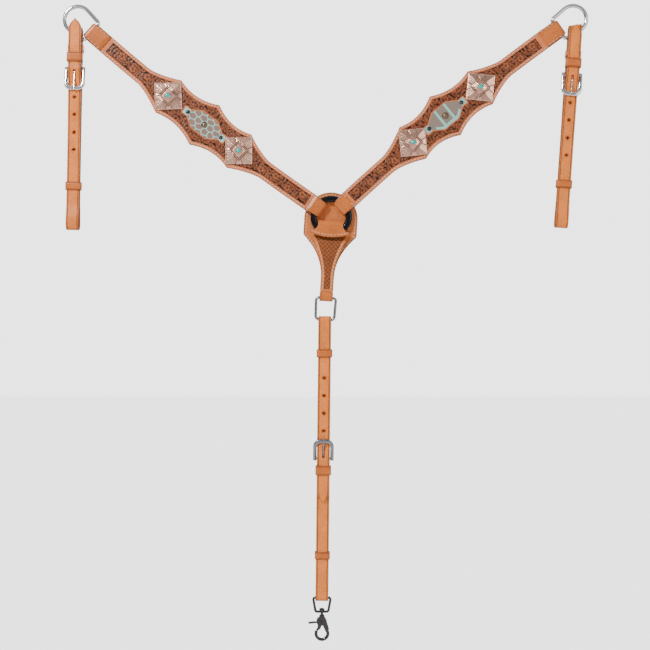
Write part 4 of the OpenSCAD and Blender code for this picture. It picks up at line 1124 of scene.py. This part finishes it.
cols = np.concatenate([[-1, -0.985, -0.95], np.linspace(-0.9, 0.9, 29), [0.95, 0.985, 1]])
edge_drop = np.interp(np.abs(cols), [0.95, 0.985, 1], [0, 0.18, 0.7])
grid, under, tint = [], [], []
for z in np.linspace(-26, -12.5, 8):
    grid.append([(tab_half(z) * 0.94 * f, BACK_OUT - e, z) for f, e in zip(cols, edge_drop)])
    under.append([(tab_half(z) * 0.94 * f, BACK_IN + 0.05, z) for f in (-1, 1)])
for a in np.linspace(0, math.pi, 24):
    grid.append([(18.0 * f, (BACK_OUT - e) * math.cos(a), FOLD_Z + (BACK_OUT - e) * math.sin(a))
                 for f, e in zip(cols, edge_drop)])
    under.append([(18.0 * f, BACK_IN * math.cos(a), FOLD_Z + BACK_IN * math.sin(a))
                  for f in (-1, 1)])
for t in np.concatenate([np.linspace(0.05, 0.9, 20), [0.94, 0.97, 0.99, 1.0]]):
    end_drop = float(np.interp(t, [0.97, 0.99, 1], [0, 0.2, 0.7]))
    wide = float(tab_half(FOLD_Z - TAB_LONG * t))
    row = [(wide * f, -BACK_OUT + max(e, end_drop), FOLD_Z + (tab_end(wide * f) - FOLD_Z) * t)
           for f, e in zip(cols, edge_drop)]
    grid.append(row)
    under.append([(row[f][0], -3.22, row[f][2]) for f in (0, -1)])
grid, under = np.array(grid), np.array(under)
tint = np.zeros(grid.shape[:2])
tint[:, 0] = tint[:, -1] = 0.7
tint[-3:, :] = np.maximum(tint[-3:, :], [[0.2], [0.6], [0.8]])
slab("drop_tab", grid, under, loop_tan, "drop", ("centre_drop",), DROP_TURN, antique=tint)
line = [(x, -5.86, tab_end(x) + 3.4) for x in np.linspace(-25.5, 25.5, 40)]
sewn = [place(line, DROP_TURN)]


def tail_half(z):
    s = np.clip((-25 - np.asarray(z, dtype=float)) / 62, 0, 1)
    return 9 + 20.4 * (1 - s) ** 1.8


rows_z = np.concatenate([np.linspace(-24, -108.6, 170), [-109.3, -109.8, -110]])
s = np.linspace(-1, 1, 61)
c = 0.7 * s + 0.3 * np.sin(s * math.pi / 2)
hw = tail_half(rows_z) * np.where(rows_z > -33, 0.97, 1.0)
P = hw[:, None] * c[None, :]
Q = np.repeat(rows_z[:, None], len(c), axis=1)
stations = np.linspace(20, -110, 140)
d = from_rim(P, Q, stations, tail_half(stations))
lie = 3.2 - 3.2 * ease((-27 - Q) / 12)
inside = (d > 5.0) & (Q > -105.2)
a1, b1 = (P + Q) * 0.7071 / 4.4, (P - Q) * 0.7071 / 4.4
cell = (np.floor(a1) + np.floor(b1)) % 2
u1, v1 = a1 % 1 - 0.5, b1 % 1 - 0.5
across = np.where(cell > 0.5, v1, u1)
along_it = np.where(cell > 0.5, u1, v1)
weave = np.sqrt(np.clip(1 - (1.75 * across) ** 2, 0, 1)) * (0.75 + 0.25 * np.cos(2.2 * along_it))
weave *= 1 - 0.25 * (np.sin(along_it * 19) > 0.3)
line = np.exp(-((d - 5.0) / 0.3) ** 2) * (Q > -105.4) + np.exp(-((Q + 105.2) / 0.3) ** 2) * (d > 5)
line = np.clip(line, 0, 1)
y = lie + 0.4 * inside * (1 - weave) + 0.28 * line + edge_round(d)
stain = np.clip(inside * np.clip(1.38 - weave, 0.42, 1) + 0.8 * line + 0.5 * (d < 0.6), 0, 1)
sheet("drop_tail", P, y, Q, 3.0 + lie[:, [0, -1]] * 0.93, guard_tan, "drop", (), DROP_TURN,
      antique=stain)
for edge in (-1, 1):
    zs = np.linspace(-40, -107, 90)
    sewn.append(place([(edge * (float(tail_half(z)) - 2.9), 0.16, z) for z in zs], DROP_TURN))
stitches("drop_stitches", sewn, "drop", slant=14)

# ---------------------------------------------------------------- ring guard
# A wide plain leaf of leather lies behind the middle ring and keeps it off the horse, with a
# thinner lining glued on its back and one row of stitches round the edge.
GUARD_R, GUARD_Z = 39.0, -3.2       # round top of the guard
ROW_R = 35.4                        # and of its row of stitches


def guard_half(z):
    z = np.asarray(z, dtype=float)
    s = np.clip((-30.5 - z) / 60, 0, 1)
    crown = np.sqrt(np.clip(GUARD_R ** 2 - (z - GUARD_Z) ** 2, 0, None))
    shoulder = 30 + np.sqrt(np.clip(81 - (z + 24) ** 2, 0, None))
    flank = 9.6 + 26.4 * (1 - s) ** 2.2
    return np.where(z > GUARD_Z, crown,
                    np.where(z > -24, GUARD_R, np.where(z > -30.5, shoulder, flank)))


def guard_lie(z, upper, lower):
    return upper + (lower - upper) * ease((-36 - np.asarray(z, dtype=float)) / 14)


top_z = GUARD_Z + GUARD_R * np.sin(np.radians(np.linspace(87.5, 0, 40)))
rows_z = np.concatenate([top_z, np.linspace(-4, -107.2, 140), [-107.7, -108.0]])
hw = guard_half(rows_z)
s = np.linspace(-1, 1, 51)
c = 0.5 * s + 0.5 * np.sin(s * math.pi / 2)
P = hw[:, None] * c[None, :]
Q = np.repeat(rows_z[:, None], len(c), axis=1)
zz = np.linspace(35.79, -108, 400)
d = from_rim(P, Q, zz, guard_half(zz))
rounding = edge_round(d)
line = np.exp(-((d - 1.7) / 0.3) ** 2)
y = guard_lie(Q, 6.4, 3.3) + rounding + 0.22 * line + 0.12 * np.exp(-((d - 3.6) / 0.6) ** 2)
sheet("guard_leather", P, y, Q, guard_lie(Q[:, [0, -1]], 9.0, 5.9), guard_tan, "drop",
      ("ring_guard",), DROP_TURN, antique=np.clip(0.5 * line + 0.6 * (d < 0.6), 0, 1))
sheet("guard_backing", P, guard_lie(Q, 11.0, 7.9) - rounding, Q,
      guard_lie(Q[:, [0, -1]], 9.03, 5.93), lining_tan, "drop", ("guard_lining",), DROP_TURN,
      antique=0.5 * (d < 0.6))
zs = np.concatenate([GUARD_Z + ROW_R * np.sin(np.radians(np.linspace(88, 0, 60))),
                     np.linspace(-4, -106, 110)])
pts = []
for z in zs:
    if z > GUARD_Z:
        w = math.sqrt(max(0.0, ROW_R ** 2 - (z - GUARD_Z) ** 2))
    else:
        w = float(guard_half(z)) - (GUARD_R - ROW_R)
    pts.append((w, float(guard_lie(z, 6.5, 3.4)), z))
right_row = np.array(pts)
left_row = right_row * np.array([-1, 1, 1])
whole = np.concatenate([left_row[::-1], right_row])
stitches("guard_stitches", [place(whole, DROP_TURN)], "drop", slant=12)
behind = whole.copy()
behind[:, 1] = guard_lie(behind[:, 2], 10.9, 7.8)
stitches("guard_back_stitches", [place(behind, DROP_TURN)], "drop", slant=-12)

# Loop at the drop's end, turned round the lower ring's top bar.
p, _ = resample([(-2.15, -109.7)] + [(1.5 + 3.65 * math.cos(a), -118.2 + 3.65 * math.sin(a))
                for a in np.linspace(math.pi, 2 * math.pi, 24)] + [(5.15, -109.7)], 0.6)
top, low, a = ribbon(p, 9.7, 2.7, -1, crease=False)
slab("drop_loop_leather", axes(top, "yzx"), axes(low, "yzx"), loop_tan, "drop",
     ("drop_ring_loop",), DROP_TURN, antique=a)

# ---------------------------------------------------------------- floor
floor_mesh = bpy.data.meshes.new("floor")
floor_mesh.from_pydata([(-6, -4, -0.70), (6, -4, -0.70), (6, 8, -0.70), (-6, 8, -0.70)], [],
                       [(0, 1, 2, 3)])
floor = bpy.data.objects.new("floor", floor_mesh)
pale = plain("pale floor", (0.86, 0.86, 0.85), 0.7)
pt = pale.node_tree
either = add(pt, "MixShader")
join(pt, (add(pt, "LightPath"), "Is Camera Ray", either, 0),
     (pt.nodes["Principled BSDF"], 0, either, 1), (add(pt, "Emission", Strength=2.8), 0, either, 2),
     (either, 0, pt.nodes["Material Output"], "Surface"))
floor_mesh.materials.append(pale)
bpy.context.scene.collection.objects.link(floor)
